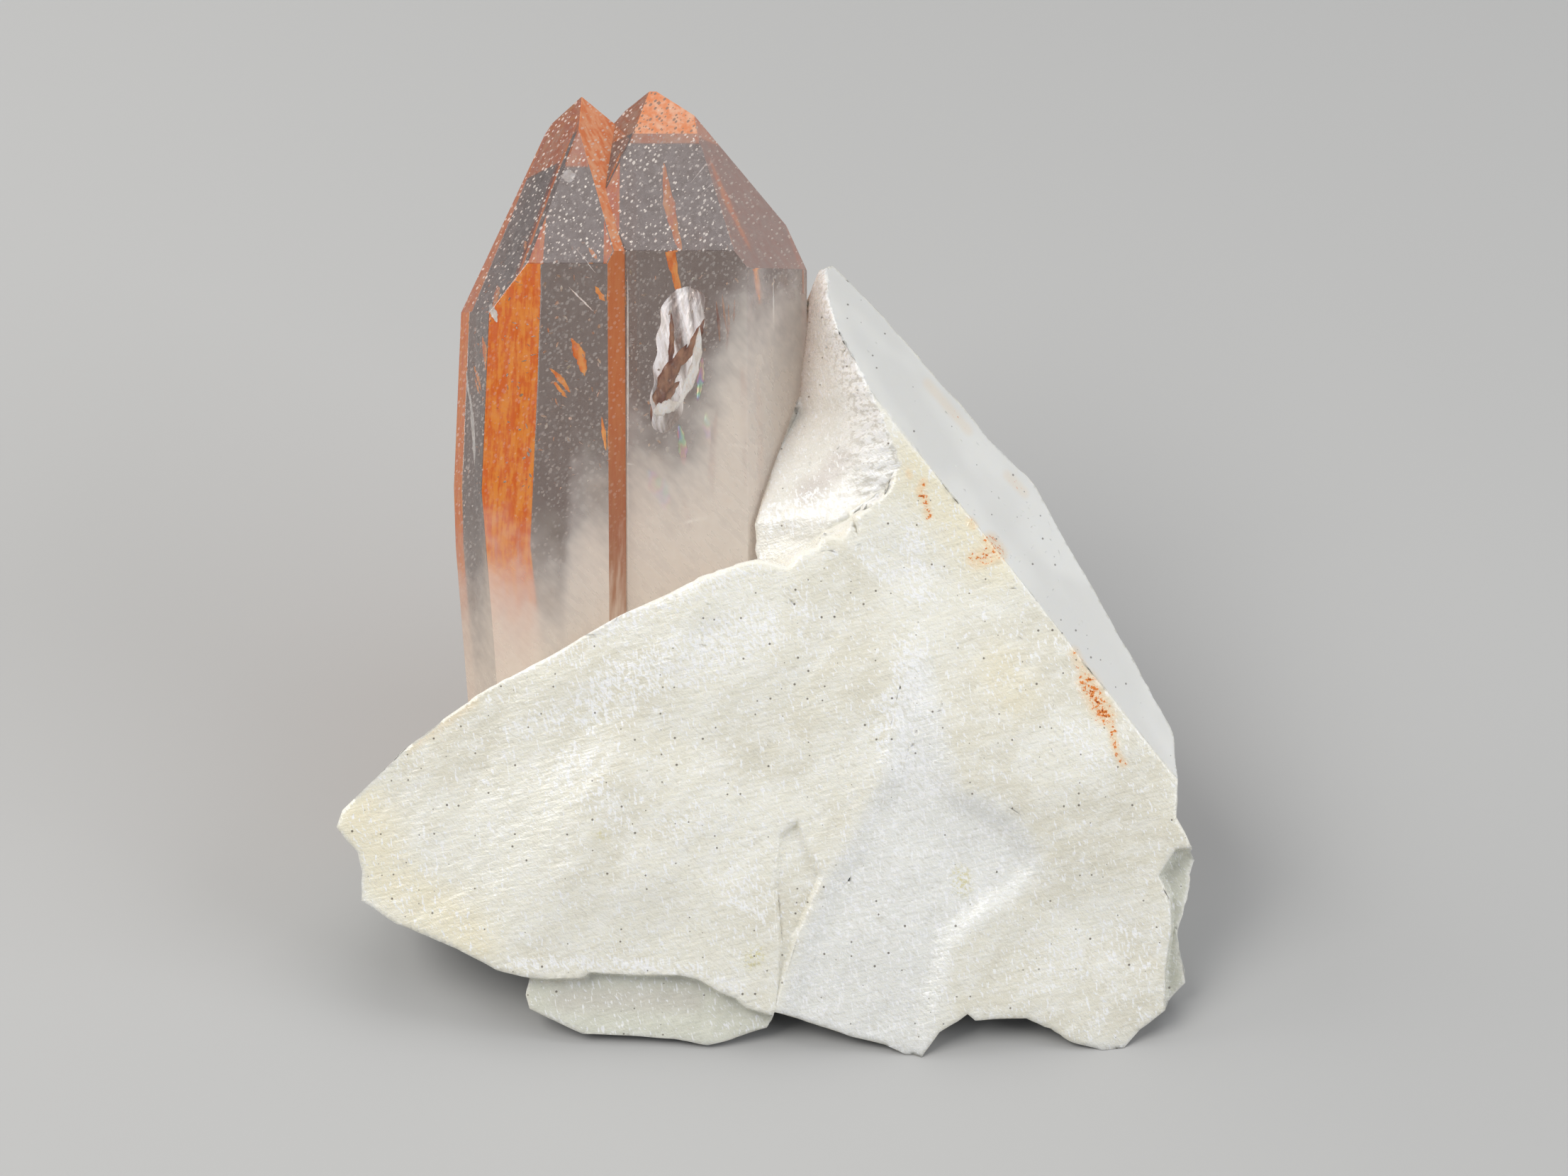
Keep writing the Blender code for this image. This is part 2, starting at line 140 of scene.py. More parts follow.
RIDGE = [(4.8, 63.2), (4.9, 60.1), (5.6, 57.5), (6.9, 55.0), (9.0, 50.6), (10.4, 46.7)]
RECESS_FOOT = [(-0.9, 3.6, 39.0), (-0.7, 4.0, 42.5), (0.6, 6.4, 47.0), (2.3, 9.0, 51.0), (3.2, 10.8, 60.5)]
STEP_LINE = [(10.4, 46.7), (9.2, 44.3), (6.7, 42.7), (4.6, 41.5), (3.2, 40.4), (0.4, 39.2), (-0.9, 39.1)]
UPPER_CRYSTAL_LEFT = [(-1.0, 42.0), (0.4, 47.0), (2.4, 54.0), (3.0, 60.0), (4.2, 62.9)]
RECESS = RIDGE + STEP_LINE[1:] + UPPER_CRYSTAL_LEFT
SIDE_POINT = (11.3, 47.9)
SIDE_ACROSS = (0.780, 0.626)
SIDE_SLOPE = 2.1
LOWER_LEDGE = [
    (-19.6, 6.6), (-17.3, 6.4), (-14.5, 6.5), (-13.9, 6.9), (-9.7, 6.7), (-6.9, 6.7), (-5.4, 6.4),
    (-3.6, 5.4), (-2.4, 5.0), (-1.6, 4.2), (0.5, 3.6), (0.5, -2.0), (-19.6, -2.0),
]
RIGHT_LEDGE = [
    (32.0, 16.6), (30.6, 14.4), (31.5, 12.6), (31.6, 10.2), (31.2, 7.0), (31.3, 3.0), (40.0, 0.0),
    (40.0, 17.0),
]
FAN = [
    (12.9, 31.5), (10.9, 31.5), (8.8, 22.3), (7.6, 20.2), (6.1, 17.1), (4.4, 14.4), (2.4, 9.7), (0.6, 3.8),
    (0.8, -2.0), (12.9, -2.0), (13.8, 4.2), (14.9, 8.9), (17.7, 11.1), (19.9, 12.5), (21.8, 14.7),
    (21.3, 16.9), (19.9, 19.2), (17.7, 20.6), (15.2, 21.4), (13.8, 27.5),
]
FAN_FADE = (31.0, 20.0)
FAN_FOOT = 10.0
HEEL_CHIP = [(0.9, 17.7), (0.4, 13.4), (0.8, 9.1), (0.6, 3.8), (2.4, 9.7), (4.4, 14.4), (2.4, 18.9)]
# Outline, how deep it lies and the width of its bank
REGIONS = [
    (LOWER_LEDGE, 1.1, 0.35),
    (RIGHT_LEDGE, 2.2, 0.6),
    (FAN, 0.55, 2.2),
    (HEEL_CHIP, 0.4, 0.4),
]

BELLY_CENTRE = (-2.0, 20.0)
BELLY_REACH = (34.0, 26.0)
BELLY_DEPTH = 1.2
BELLY_RISE = 0.9
# Waves of a face: height, size, turn in degrees, seed
BROAD_WAVES = [(0.5, 10.0, 25, 1), (0.22, 4.2, -35, 2)]
RECESS_WAVE = (0.3, 2.6, 20, 5)
RECESS_WAVE_START = 6.0
PAST_RECESS_FOOT = 1.4


def wave_height(points, rows):
    return sum(height * patchy_noise(points, size, turn, seed) for height, size, turn, seed in rows)


def broken_depth(points):
    """Depth of the broad broken face, a shallow belly with soft waves, chips and ledges."""
    belly = (((points - BELLY_CENTRE) / BELLY_REACH) ** 2).sum(axis=1)
    depth = BELLY_DEPTH * belly - BELLY_RISE + wave_height(points, BROAD_WAVES)
    for corners, drop, bank in REGIONS:
        fade = smooth_step(*FAN_FADE, points[:, 1]) if corners is FAN else 1.0
        depth += drop * fade * smooth_step(0.0, bank, polygon_distance(points, corners))
    return depth


def side_depth(points):
    """Depth of the smooth side face of the upper crystal."""
    return SIDE_SLOPE * ((points - np.array(SIDE_POINT)) @ np.array(SIDE_ACROSS))


def outer_depth(points):
    return np.maximum(broken_depth(points), side_depth(points))


def recess_across(points):
    """Share of the way from the ridge to the clear crystal over the recessed face."""
    x, z = points.T
    ridge_x_corners, ridge_z_corners = np.array(RIDGE[::-1]).T
    foot_x_corners, _, foot_z_corners = np.array(RECESS_FOOT).T
    ridge_x = np.interp(z, ridge_z_corners, ridge_x_corners)
    foot_x = np.interp(z, foot_z_corners, foot_x_corners)
    return ridge_x, np.clip((ridge_x - x) / (ridge_x - foot_x), 0.0, PAST_RECESS_FOOT)


def recess_depth(points):
    """Recessed left face of the upper crystal, twisted between its ridge and the clear crystal."""
    z = points[:, 1]
    ridge_x, across = recess_across(points)
    ridge_y = outer_depth(np.stack([ridge_x, np.maximum(z, RIDGE[-1][1])], axis=1))
    _, foot_y_corners, foot_z_corners = np.array(RECESS_FOOT).T
    foot_y = np.interp(z, foot_z_corners, foot_y_corners)
    rough = wave_height(points, [RECESS_WAVE]) * np.clip(RECESS_WAVE_START * across, 0.0, 1.0)
    return ridge_y + (foot_y - ridge_y) * across + rough


def in_recess(points):
    x, z = points.T
    step_x, step_z = np.array(STEP_LINE[::-1]).T
    return (polygon_distance(points, RECESS) > -0.01) & (z > np.interp(x, step_x, step_z))


def front_depth(points):
    """Depth of the visible surface behind the front plane at each (x, z)."""
    return np.where(in_recess(points), recess_depth(points), outer_depth(points))


# Meshes

JOIN_DISTANCE = 0.002


def growth_copy(node):
    """The shape of a CAD node in the growth frame, with the corners that its faces share joined."""
    shape = bmesh.new()
    shape.from_mesh(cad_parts[node].data)
    shape.transform(GROWTH_TO_WORLD.inverted())
    bmesh.ops.remove_doubles(shape, verts=shape.verts, dist=JOIN_DISTANCE)
    shape.normal_update()
    return shape


def crystal_tree():
    """Search tree of the clear crystals, in the growth frame."""
    shape = growth_copy("clear_crystal_pair")
    tree = BVHTree.FromBMesh(shape)
    shape.free()
    return tree


def round_off(shape):
    """Turns the faces of a closed shape outward and shades them smooth."""
    bmesh.ops.recalc_face_normals(shape, faces=shape.faces)
    for face in shape.faces:
        face.smooth = True


def add_piece(name, shape, surface, replaced=None):
    """Turns a bmesh in the growth frame into a piece, with its growth places kept for the materials."""
    mesh = bpy.data.meshes.new(name)
    shape.to_mesh(mesh)
    shape.free()
    places = np.zeros(len(mesh.vertices) * 3, np.float32)
    mesh.vertices.foreach_get("co", places)
    kept = mesh.attributes.new("growth", "FLOAT_VECTOR", "POINT")
    kept.data.foreach_set("vector", places)
    mesh.transform(GROWTH_TO_WORLD)
    for vert in mesh.vertices:
        vert.co.z = max(vert.co.z, 0.0)
    mesh.materials.append(surface)
    piece = bpy.data.objects.new(name, mesh)
    bpy.context.scene.collection.objects.link(piece)
    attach(piece, "root")
    if replaced:
        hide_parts(replaced)
    return piece


# Node materials

COLOUR_MIX_INPUTS = (0, 6, 7)
COLOUR_MIX_OUTPUT = 2
VALUE_MIX_INPUTS = (0, 2, 3)
SPECK_RIM = 0.06


class Surface:
    """A Principled material, with short calls for the nodes that colour it."""

    def __init__(self, name, **plain):
        self.material = bpy.data.materials.new(name)
        self.material.use_nodes = True
        self.tree = self.material.node_tree
        self.shader = self.tree.nodes["Principled BSDF"]
        self.output = self.tree.nodes["Material Output"]
        self.shader.inputs["IOR"].default_value = QUARTZ_IOR
        for socket, value in plain.items():
            self.shader.inputs[socket.replace("_", " ")].default_value = value

    def node(self, kind, inputs=(), **settings):
        made = self.tree.nodes.new(kind)
        for key, value in settings.items():
            setattr(made, key, value)
        for key, value in dict(inputs).items():
            self.feed(made.inputs[key], value)
        return made

    def feed(self, socket, value):
        if isinstance(value, bpy.types.NodeSocket):
            self.tree.links.new(value, socket)
        elif socket.type == "RGBA" and len(value) == 3:
            socket.default_value = (*value, 1.0)
        else:
            socket.default_value = value

    def set(self, **sockets):
        for key, value in sockets.items():
            self.feed(self.shader.inputs[key.replace("_", " ")], value)

    def place(self):
        return self.node("ShaderNodeAttribute", attribute_name="growth").outputs["Vector"]

    def masks(self, names):
        return {name: self.node("ShaderNodeAttribute", attribute_name=name).outputs["Fac"] for name in names}

    def laid(self, place, scale, turn=(0.0, 0.0, 0.0)):
        """Place turned (degrees, about the frame's own axes) and then scaled, for stretched textures."""
        turned = self.node(
            "ShaderNodeVectorRotate", {"Vector": place, "Rotation": [math.radians(angle) for angle in turn]},
            rotation_type="EULER_XYZ").outputs["Vector"]
        scaled = self.node("ShaderNodeVectorMath", {0: turned, 1: scale}, operation="MULTIPLY")
        return scaled.outputs["Vector"]

    def noise(self, place, scale, detail=2.0, roughness=0.5):
        made = self.node("ShaderNodeTexNoise", {
            "Vector": place, "Scale": scale, "Detail": detail, "Roughness": roughness})
        return made.outputs["Fac"]

    def axes(self, place):
        parts = self.node("ShaderNodeSeparateXYZ", {0: place})
        return [parts.outputs[axis] for axis in "XYZ"]

    def flat(self, place):
        """The x and z of a place, as the plane that small spots are laid out in."""
        x, _, z = self.axes(place)
        return self.node("ShaderNodeCombineXYZ", {0: x, 1: z}).outputs[0]

    def math(self, operation, first, second=0.0, clamp=False):
        made = self.node("ShaderNodeMath", {0: first, 1: second}, operation=operation, use_clamp=clamp)
        return made.outputs[0]

    def total(self, *values):
        return functools.reduce(lambda first, second: self.math("ADD", first, second), values)

    def product(self, *values):
        return functools.reduce(lambda first, second: self.math("MULTIPLY", first, second), values)

    def largest(self, *values):
        return functools.reduce(lambda first, second: self.math("MAXIMUM", first, second), values)

    def rest(self, value):
        return self.math("SUBTRACT", 1.0, value, clamp=True)

    def swing(self, value, reach):
        """Noise from 0 to 1 turned into a shift of half the reach to either side."""
        return self.product(self.math("SUBTRACT", value, 0.5), reach)

    def step(self, value, low, high, start=0.0, end=1.0):
        """start below low, end above high, and a smooth rise between them."""
        made = self.node("ShaderNodeMapRange", {
            "Value": value, "From Min": low, "From Max": high, "To Min": start, "To Max": end},
            interpolation_type="SMOOTHSTEP")
        return made.outputs["Result"]

    def mix(self, factor, first, second):
        """Colour between first and second."""
        made = self.node("ShaderNodeMix", zip(COLOUR_MIX_INPUTS, (factor, first, second)), data_type="RGBA")
        return made.outputs[COLOUR_MIX_OUTPUT]

    def between(self, factor, first, second):
        """Plain value between first and second."""
        return self.node("ShaderNodeMix", zip(VALUE_MIX_INPUTS, (factor, first, second))).outputs[0]

    def bump(self, height, depth, strength=1.0):
        made = self.node("ShaderNodeBump", {"Height": height, "Distance": depth * MM, "Strength": strength})
        return made.outputs["Normal"]

    def specks(self, flat_place, scale, size, share):
        """Mask of small spots in a share of the flat cells, each of a random size up to size of its cell."""
        cells = self.node(
            "ShaderNodeTexVoronoi", {"Vector": flat_place, "Scale": scale}, voronoi_dimensions="2D")
        lot = self.node("ShaderNodeSeparateColor", {0: cells.outputs["Color"]})
        reach = self.product(lot.outputs[1], size)
        chosen = self.math("LESS_THAN", lot.outputs[0], share)
        near = self.step(self.math("SUBTRACT", reach, cells.outputs["Distance"]), 0.0, SPECK_RIM)
        return self.product(near, chosen)


# Clear crystals

LEFT_RIGHT_SPLIT = -11.3
SAME_FACE_ANGLE = math.radians(0.4)
EDGE_ANGLE = math.radians(2.0)
BEVEL_WIDTH = 0.14

# Face directions that the finishes go by, in degrees
BACK_FROM = 150
FOOT_BELOW = -50
TIP_ABOVE = 15
TIP_TOP_ABOVE = 42
SEAM_FROM, SEAM_TO = 30, 90
LEFT_SIDE = -75
RIGHT_SIDE = 100
FRONT_SIDE = -30

FACE_MARKS = ("film", "film_from", "pale", "brown", "dust", "cloudy", "painted_shade")
ALL_OVER = -100.0
TIP_FILM_LEFT = 69.4
TIP_FILM_RIGHT = 71.8
FINISHES = {
    # iron-oxide film, the height it starts at, how pale and how brown it is, dust, root cloud, painted shade
    # that darkens the view through the face
    "foot": (0.0, ALL_OVER, 1.0, 0.0, 0.0, 1.0, 0.0),
    "left tip back": (1.0, ALL_OVER, 0.30, 0.0, 0.4, 0.0, 0.0),
    "right tip back": (1.0, ALL_OVER, 0.80, 0.0, 0.4, 0.0, 0.0),
    "tip seam": (0.9, ALL_OVER, 0.65, 0.1, 0.9, 0.0, 0.0),
    "tip top": (0.9, ALL_OVER, 1.0, 0.0, 0.8, 0.0, 0.0),
    "tip front": (0.0, ALL_OVER, 0.8, 0.0, 1.0, 0.0, 0.3),
    "tip right": (0.25, ALL_OVER, 1.0, 0.0, 1.0, 0.0, 0.0),
    "left back": (1.0, TIP_FILM_LEFT, 0.45, 0.0, 0.7, 1.0, 1.0),
    "right back": (1.0, TIP_FILM_RIGHT, 0.85, 0.0, 0.7, 1.0, 1.0),
    "band": (1.0, ALL_OVER, 0.0, 0.0, 0.05, 0.7, 0.0),
    "seam": (1.0, ALL_OVER, 0.3, 1.0, 0.25, 0.25, 0.0),
    "right back side": (0.0, ALL_OVER, 0.5, 0.0, 0.1, 0.9, 0.0),
    "left front side": (0.0, ALL_OVER, 0.5, 0.0, 0.5, 0.55, 0.3),
    "front": (0.0, ALL_OVER, 0.5, 0.0, 0.2, 0.6, 0.0),
}

# Colours; a pair runs from the darker to the paler tone
CLEAN_FACE = (1.0, 0.985, 0.97)
DUSTY_FACE = (0.62, 0.56, 0.57)
# Painted shade: a near-black tint that darkens what is seen through the crystals' back faces
PAINTED_SHADE_FACE = (0.11, 0.068, 0.054)
DEEP_FILM = ((0.86, 0.16, 0.006), (1.0, 0.33, 0.035))
PALE_FILM = ((0.92, 0.30, 0.09), (0.97, 0.58, 0.38))
BROWN_FILM = ((0.33, 0.17, 0.115), (0.56, 0.20, 0.085))
BEIGE = ((0.80, 0.67, 0.51), (0.96, 0.87, 0.73))
DUST_COLOUR = (0.90, 0.83, 0.75)
GRIME_COLOUR = (0.14, 0.06, 0.03)
INNER_TINT = (0.90, 0.80, 0.74)
INNER_TINT_DENSITY = 10.0

# Heights between which the film changes its colour and the cloud closes
BROWN_TO_ORANGE = (38.0, 56.0)
FILM_TO_BEIGE = (42.0, 31.0)
FILM_WANDER = 14.0
CLEAR_TO_CLOUD = (50.0, 36.0)
CLOUD_WAVES = 12.0
CLOUD_LEAN_AT = (-7.5, -0.5)
CLOUD_LEAN = 12.0
CLOUD_RIGHT_LIFT = 4.0
BAND_EDGE = (-16.4, -15.2)
CLOUD_BAND_DIP = 6.0

CLEAR_ROUGHNESS = 0.02
FILM_ROUGHNESS = 0.42
CLOUD_ROUGHNESS = 0.5
GRAIN_ROUGHNESS = 0.5
FILM_OPACITY = 0.96
GRAIN_OPACITY = 0.9
FILM_SCATTER = 0.99
CLOUD_SCATTER = 0.85
# Painted glow of the film and the root cloud: emission strength, from the deep orange film to the pale
FILM_PAINTED_GLOW = (0.45, 0.24)
FILM_GLOSS = 0.02
FILM_GLOSS_ROUGHNESS = 0.4


def face_direction(normal):
    """(azimuth, rise) of a crystal face in degrees; azimuth 0 faces the front and +90 the right."""
    upright = Matrix.Rotation(-CRYSTAL_TILT, 3, "X") @ normal
    azimuth = math.degrees(math.atan2(upright.x, -upright.y))
    return azimuth, math.degrees(math.asin(max(-1.0, min(1.0, upright.z))))


def face_finish(left, azimuth, rise):
    """Name in FINISHES of the finish of a crystal face."""
    back = abs(azimuth) > BACK_FROM
    if rise < FOOT_BELOW:
        return "foot"
    if rise > TIP_ABOVE:
        if back or azimuth < LEFT_SIDE or azimuth > RIGHT_SIDE:
            return "left tip back" if left else "right tip back"
        if left and azimuth > SEAM_FROM:
            return "tip seam"
        if rise > TIP_TOP_ABOVE:
            return "tip top"
        return "tip front" if left or azimuth < SEAM_FROM else "tip right"
    if back:
        return "left back" if left else "right back"
    if left and azimuth < LEFT_SIDE:
        return "band"
    if left and SEAM_FROM < azimuth < SEAM_TO:
        return "seam"
    if azimuth > RIGHT_SIDE:
        return "right back side"
    return "left front side" if azimuth < FRONT_SIDE else "front"


def film_colour(made, mark, height, streaks, grain, beige):
    """Orange of the iron-oxide film: mottled, streaked along the crystal, and beige toward the root."""
    deep = made.mix(made.step(grain, 0.42, 0.60), *DEEP_FILM)
    pale = made.mix(made.step(grain, 0.38, 0.64), *PALE_FILM)
    brown = made.mix(made.step(height, *BROWN_TO_ORANGE), *BROWN_FILM)
    film = made.mix(mark["pale"], deep, pale)
    film = made.mix(made.product(mark["brown"], 0.85), film, brown)
    root = made.step(made.total(height, made.swing(streaks, FILM_WANDER)), *FILM_TO_BEIGE)
    return made.mix(made.product(root, 0.7), film, beige)


def root_cloud(made, place, sideways, height, billows):
    """Cloud that closes the crystals near their root, higher on the right, lower before the orange band."""
    dip = made.step(sideways, *BAND_EDGE, CLOUD_BAND_DIP, 0.0)
    lean = made.step(sideways, *CLOUD_LEAN_AT, 0.0, CLOUD_LEAN)
    lift = made.product(made.math("GREATER_THAN", sideways, LEFT_RIGHT_SPLIT), CLOUD_RIGHT_LIFT)
    level = made.math("SUBTRACT", made.total(height, dip), made.total(lean, lift))
    closed = made.step(made.total(level, made.swing(billows, CLOUD_WAVES)), *CLEAR_TO_CLOUD)
    brushed = made.noise(made.laid(place, (0.3, 0.5, 1.1), (0.0, -48.0, 0.0)), 1.8)
    return made.product(closed, made.step(brushed, 0.20, 0.80, 0.74, 1.0))


def scattering(made, colour, pale):
    """Shader of film and cloud, which scatter light to both of their sides with little gloss, and glow with a
    painted light: an emission in their own colour, though they are no lamp.
    """
    matt = made.node("ShaderNodeBsdfDiffuse", {"Color": colour})
    through = made.node("ShaderNodeBsdfTranslucent", {"Color": colour})
    # Painted light: film and cloud shine in their own colour
    painted_glow = made.node("ShaderNodeEmission", {"Color": colour, "Strength": 1.0})
    gloss = made.node("ShaderNodeBsdfGlossy", {"Color": (1.0, 1.0, 1.0), "Roughness": FILM_GLOSS_ROUGHNESS})
    shader = matt.outputs[0]
    painted_glow_share = made.step(pale, 0.0, 0.8, *FILM_PAINTED_GLOW)
    for share, added in ((0.5, through), (painted_glow_share, painted_glow), (FILM_GLOSS, gloss)):
        shader = made.node("ShaderNodeMixShader", {0: share, 1: shader, 2: added.outputs[0]}).outputs[0]
    return shader


def clear_quartz_surface():
    made = Surface("clear quartz", Transmission_Weight=1.0)
    mark = made.masks(FACE_MARKS)
    place = made.place()
    sideways, _, height = made.axes(place)
    streaks = made.noise(made.laid(place, (1.6, 1.6, 0.35)), 1.0, 2.0, 0.6)
    mottle = made.noise(place, 1.5, 3.0, 0.65)
    grain = made.total(made.product(streaks, 0.6), made.product(mottle, 0.4))
    billows = made.noise(place, 0.30, 2.0, 0.6)

    beige = made.mix(mottle, *BEIGE)
    film = film_colour(made, mark, height, streaks, grain, beige)
    closed = root_cloud(made, place, sideways, height, billows)
    cloud = made.product(closed, mark["cloudy"])

    # White dust on the tips and the odd grain elsewhere, with dark grime on the palest film
    flat = made.flat(place)
    fine = made.specks(made.laid(flat, (1.0, 0.6, 1.0), (0.0, 0.0, 35.0)), 3.0, 0.34, 1.0)
    coarse = made.specks(flat, 1.1, 0.13, 0.5)
    density = made.step(billows, 0.30, 0.55, 0.6, 1.0)
    grains = made.largest(made.product(fine, 0.7), coarse)
    grains = made.product(grains, mark["dust"], density, made.rest(closed))
    haze = made.product(
        mark["dust"], made.step(grain, 0.3, 0.7, 0.05, 0.22), made.step(mark["painted_shade"], 0.8, 1.0, 1.0, 0.2))
    started = made.step(made.math("SUBTRACT", height, mark["film_from"]), -0.12, 0.12)
    cover = made.product(mark["film"], started, made.step(mottle, 0.10, 0.24))
    grime = made.product(fine, made.step(mark["pale"], 0.85, 0.95), cover, 0.7)

    colour = made.mix(mark["dust"], CLEAN_FACE, DUSTY_FACE)
    # Painted shade on the faces that carry it
    colour = made.mix(mark["painted_shade"], colour, PAINTED_SHADE_FACE)
    for part, tone in ((cloud, beige), (cover, film), (grains, DUST_COLOUR), (grime, GRIME_COLOUR)):
        colour = made.mix(part, colour, tone)
    opaque = made.largest(made.product(cover, FILM_OPACITY), cloud, made.product(grains, GRAIN_OPACITY), haze)
    rough = made.largest(made.product(cover, FILM_ROUGHNESS), made.product(cloud, CLOUD_ROUGHNESS))
    rough = made.largest(made.total(rough, CLEAR_ROUGHNESS), made.product(grains, GRAIN_ROUGHNESS))
    growth_lines = made.noise(made.laid(place, (0.18, 0.18, 2.6)), 1.0, 1.0, 0.55)
    made.set(Base_Color=colour, Transmission_Weight=made.rest(opaque), Roughness=rough)
    made.set(Normal=made.bump(growth_lines, 0.012, 0.6))

    # Film and cloud get the scattering shader, painted glow included
    share = made.largest(made.product(cover, FILM_SCATTER), made.product(cloud, CLOUD_SCATTER))
    both = made.node("ShaderNodeMixShader", {
        0: share, 1: made.shader.outputs[0], 2: scattering(made, colour, mark["pale"])})
    absorb = made.node("ShaderNodeVolumeAbsorption", {"Color": INNER_TINT, "Density": INNER_TINT_DENSITY})
    made.feed(made.output.inputs["Surface"], both.outputs[0])
    made.feed(made.output.inputs["Volume"], absorb.outputs["Volume"])
    return made.material


def build_clear_crystals():
    shape = growth_copy("clear_crystal_pair")
    bmesh.ops.dissolve_limit(shape, angle_limit=SAME_FACE_ANGLE, verts=shape.verts, edges=shape.edges)
    shape.normal_update()
    layers = [shape.faces.layers.float.new(mark) for mark in FACE_MARKS]
    for face in shape.faces:
        left = face.calc_center_median().x < LEFT_RIGHT_SPLIT
        for layer, value in zip(layers, FINISHES[face_finish(left, *face_direction(face.normal))]):
            face[layer] = value
    outer = [edge for edge in shape.edges if edge.is_convex and edge.calc_face_angle() > EDGE_ANGLE]
    bmesh.ops.bevel(shape, geom=outer, offset=BEVEL_WIDTH, segments=2, profile=0.5, affect="EDGES",
                    clamp_overlap=True)
    bmesh.ops.triangulate(shape, faces=shape.faces)
    add_piece("clear_crystals", shape, clear_quartz_surface(), "clear_crystal_pair")


# Features inside the clear crystals

RUST_LENSES = [
    # start, end, width, thickness, sideways bow
    ((-5.0, 6.3, 58.7), (-7.4, 5.8, 54.4), 0.75, 0.25, 0.25),
    ((-6.4, 6.0, 56.6), (-9.3, 5.3, 50.3), 1.25, 0.25, -0.3),
    ((-7.7, 6.3, 59.2), (-7.9, 6.1, 54.2), 0.45, 0.2, 0.15),
    ((-7.0, 6.0, 53.6), (-9.0, 5.6, 51.0), 0.9, 0.2, -0.2),
    ((-2.1, 6.5, 55.2), (-1.6, 7.5, 43.6), 0.85, 0.35, 0.25),
    ((-4.0, 7.0, 51.6), (-4.4, 8.0, 44.4), 0.55, 0.25, -0.2),
    ((-6.8, 7.5, 44.3), (-6.2, 7.8, 41.6), 0.45, 0.2, 0.1),
    ((-4.1, 5.5, 60.0), (-3.8, 5.6, 56.6), 0.22, 0.1, 0.05),
    ((-3.6, 5.4, 60.6), (-3.2, 5.5, 57.4), 0.18, 0.1, -0.05),
    ((-3.1, 5.6, 59.8), (-3.3, 5.7, 55.8), 0.22, 0.1, 0.08),
    ((-2.6, 5.5, 60.2), (-2.7, 5.6, 58.0), 0.16, 0.1, 0.0),
]
ORANGE_LENSES = [
    ((-8.6, 16.3, 70.0), (-7.0, 17.2, 60.6), 0.85, 0.12, -0.25),
    ((-16.3, 15.4, 57.6), (-15.4, 15.6, 54.6), 0.75, 0.12, 0.15),
    ((-17.8, 15.3, 55.2), (-16.4, 15.6, 53.2), 0.4, 0.1, 0.1),
    ((-17.6, 15.3, 54.2), (-16.6, 15.6, 52.8), 0.28, 0.1, 0.0),
    ((-14.6, 14.8, 61.6), (-13.9, 14.9, 60.4), 0.35, 0.1, 0.0),
    ((-13.6, 8.0, 50.9), (-13.3, 8.2, 48.2), 0.3, 0.1, 0.0),
]
WHITE_LENSES = [
    ((-23.6, 3.6, 52.6), (-22.9, 3.3, 46.6), 0.55, 0.12, 0.12),
    ((-23.9, 4.3, 54.4), (-23.3, 4.0, 51.6), 0.3, 0.1, -0.1),
    ((-5.4, 5.7, 58.0), (-7.3, 5.4, 51.3), 0.8, 0.14, 0.5),
    ((-9.2, 5.0, 50.9), (-7.0, 5.2, 51.8), 1.1, 0.14, 0.1),
    ((-6.9, 5.2, 42.1), (-4.6, 5.4, 42.6), 0.25, 0.1, 0.1),
    ((-3.6, 6.2, 48.4), (-1.2, 6.4, 48.0), 0.16, 0.1, 0.3),
    ((-12.9, 4.4, 47.8), (-10.6, 6.0, 46.9), 0.2, 0.1, -0.2),
    ((-15.9, 6.0, 61.0), (-14.0, 6.2, 59.0), 0.12, 0.08, 0.0),
]
RAINBOW_LENSES = [
    ((-5.2, 6.2, 55.6), (-5.6, 6.2, 52.0), 0.55, 0.1, 0.05),
    ((-4.9, 6.6, 51.2), (-4.6, 6.8, 48.6), 0.6, 0.1, -0.1),
    ((-7.1, 6.4, 50.2), (-6.7, 6.6, 46.8), 0.7, 0.1, 0.1),
    ((-9.6, 6.8, 46.6), (-8.0, 7.0, 43.2), 1.5, 0.12, 0.2),
]
# Marks just under the front faces: start and end (x, z), width. The first two are a painted highlight, the
# bright line along the seam edge between the crystals.
SKIN_MARKS = [
    ((-11.02, 62.0), (-11.08, 47.0), 0.15),
    ((-11.08, 47.4), (-11.12, 36.6), 0.08),
    ((-16.0, 70.5), (-15.8, 69.3), 1.15),
    ((-21.7, 59.4), (-21.2, 57.8), 0.5),
    ((0.42, 62.2), (0.46, 57.4), 0.12),
    ((-15.2, 63.8), (-13.4, 61.6), 0.06),
    ((-6.2, 69.4), (-4.2, 72.0), 0.10),
    ((-5.2, 68.6), (-3.9, 69.9), 0.07),
]
FRACTURE_TOP = (-6.4, 8.6, 61.4)
FRACTURE_FOOT = (-8.4, 5.4, 49.4)
FRACTURE_WIDTHS = (3.9, 2.3)
FRACTURE_COLUMNS, FRACTURE_ROWS = 18, 44
FRACTURE_THICKNESS = 0.06
LENS_RINGS, LENS_SIDES = 14, 8
BEFORE_SPECIMEN = -50.0
SKIN_DEPTH = 0.16
SKIN_THICKNESS = 0.08
FLECKS = 300
FLECK_SPACE = ((-22.0, 1.5, 38.0), (2.5, 15.0, 63.0))
FLECK_SIZES = (0.03, 0.13)
FLECK_SHAPE = (2.2, 0.35, 1.0)
FLECK_CLEARANCE = 0.5
FLECK_FLOOR = 45.0
FLECK_FLOOR_RISE = 1.7


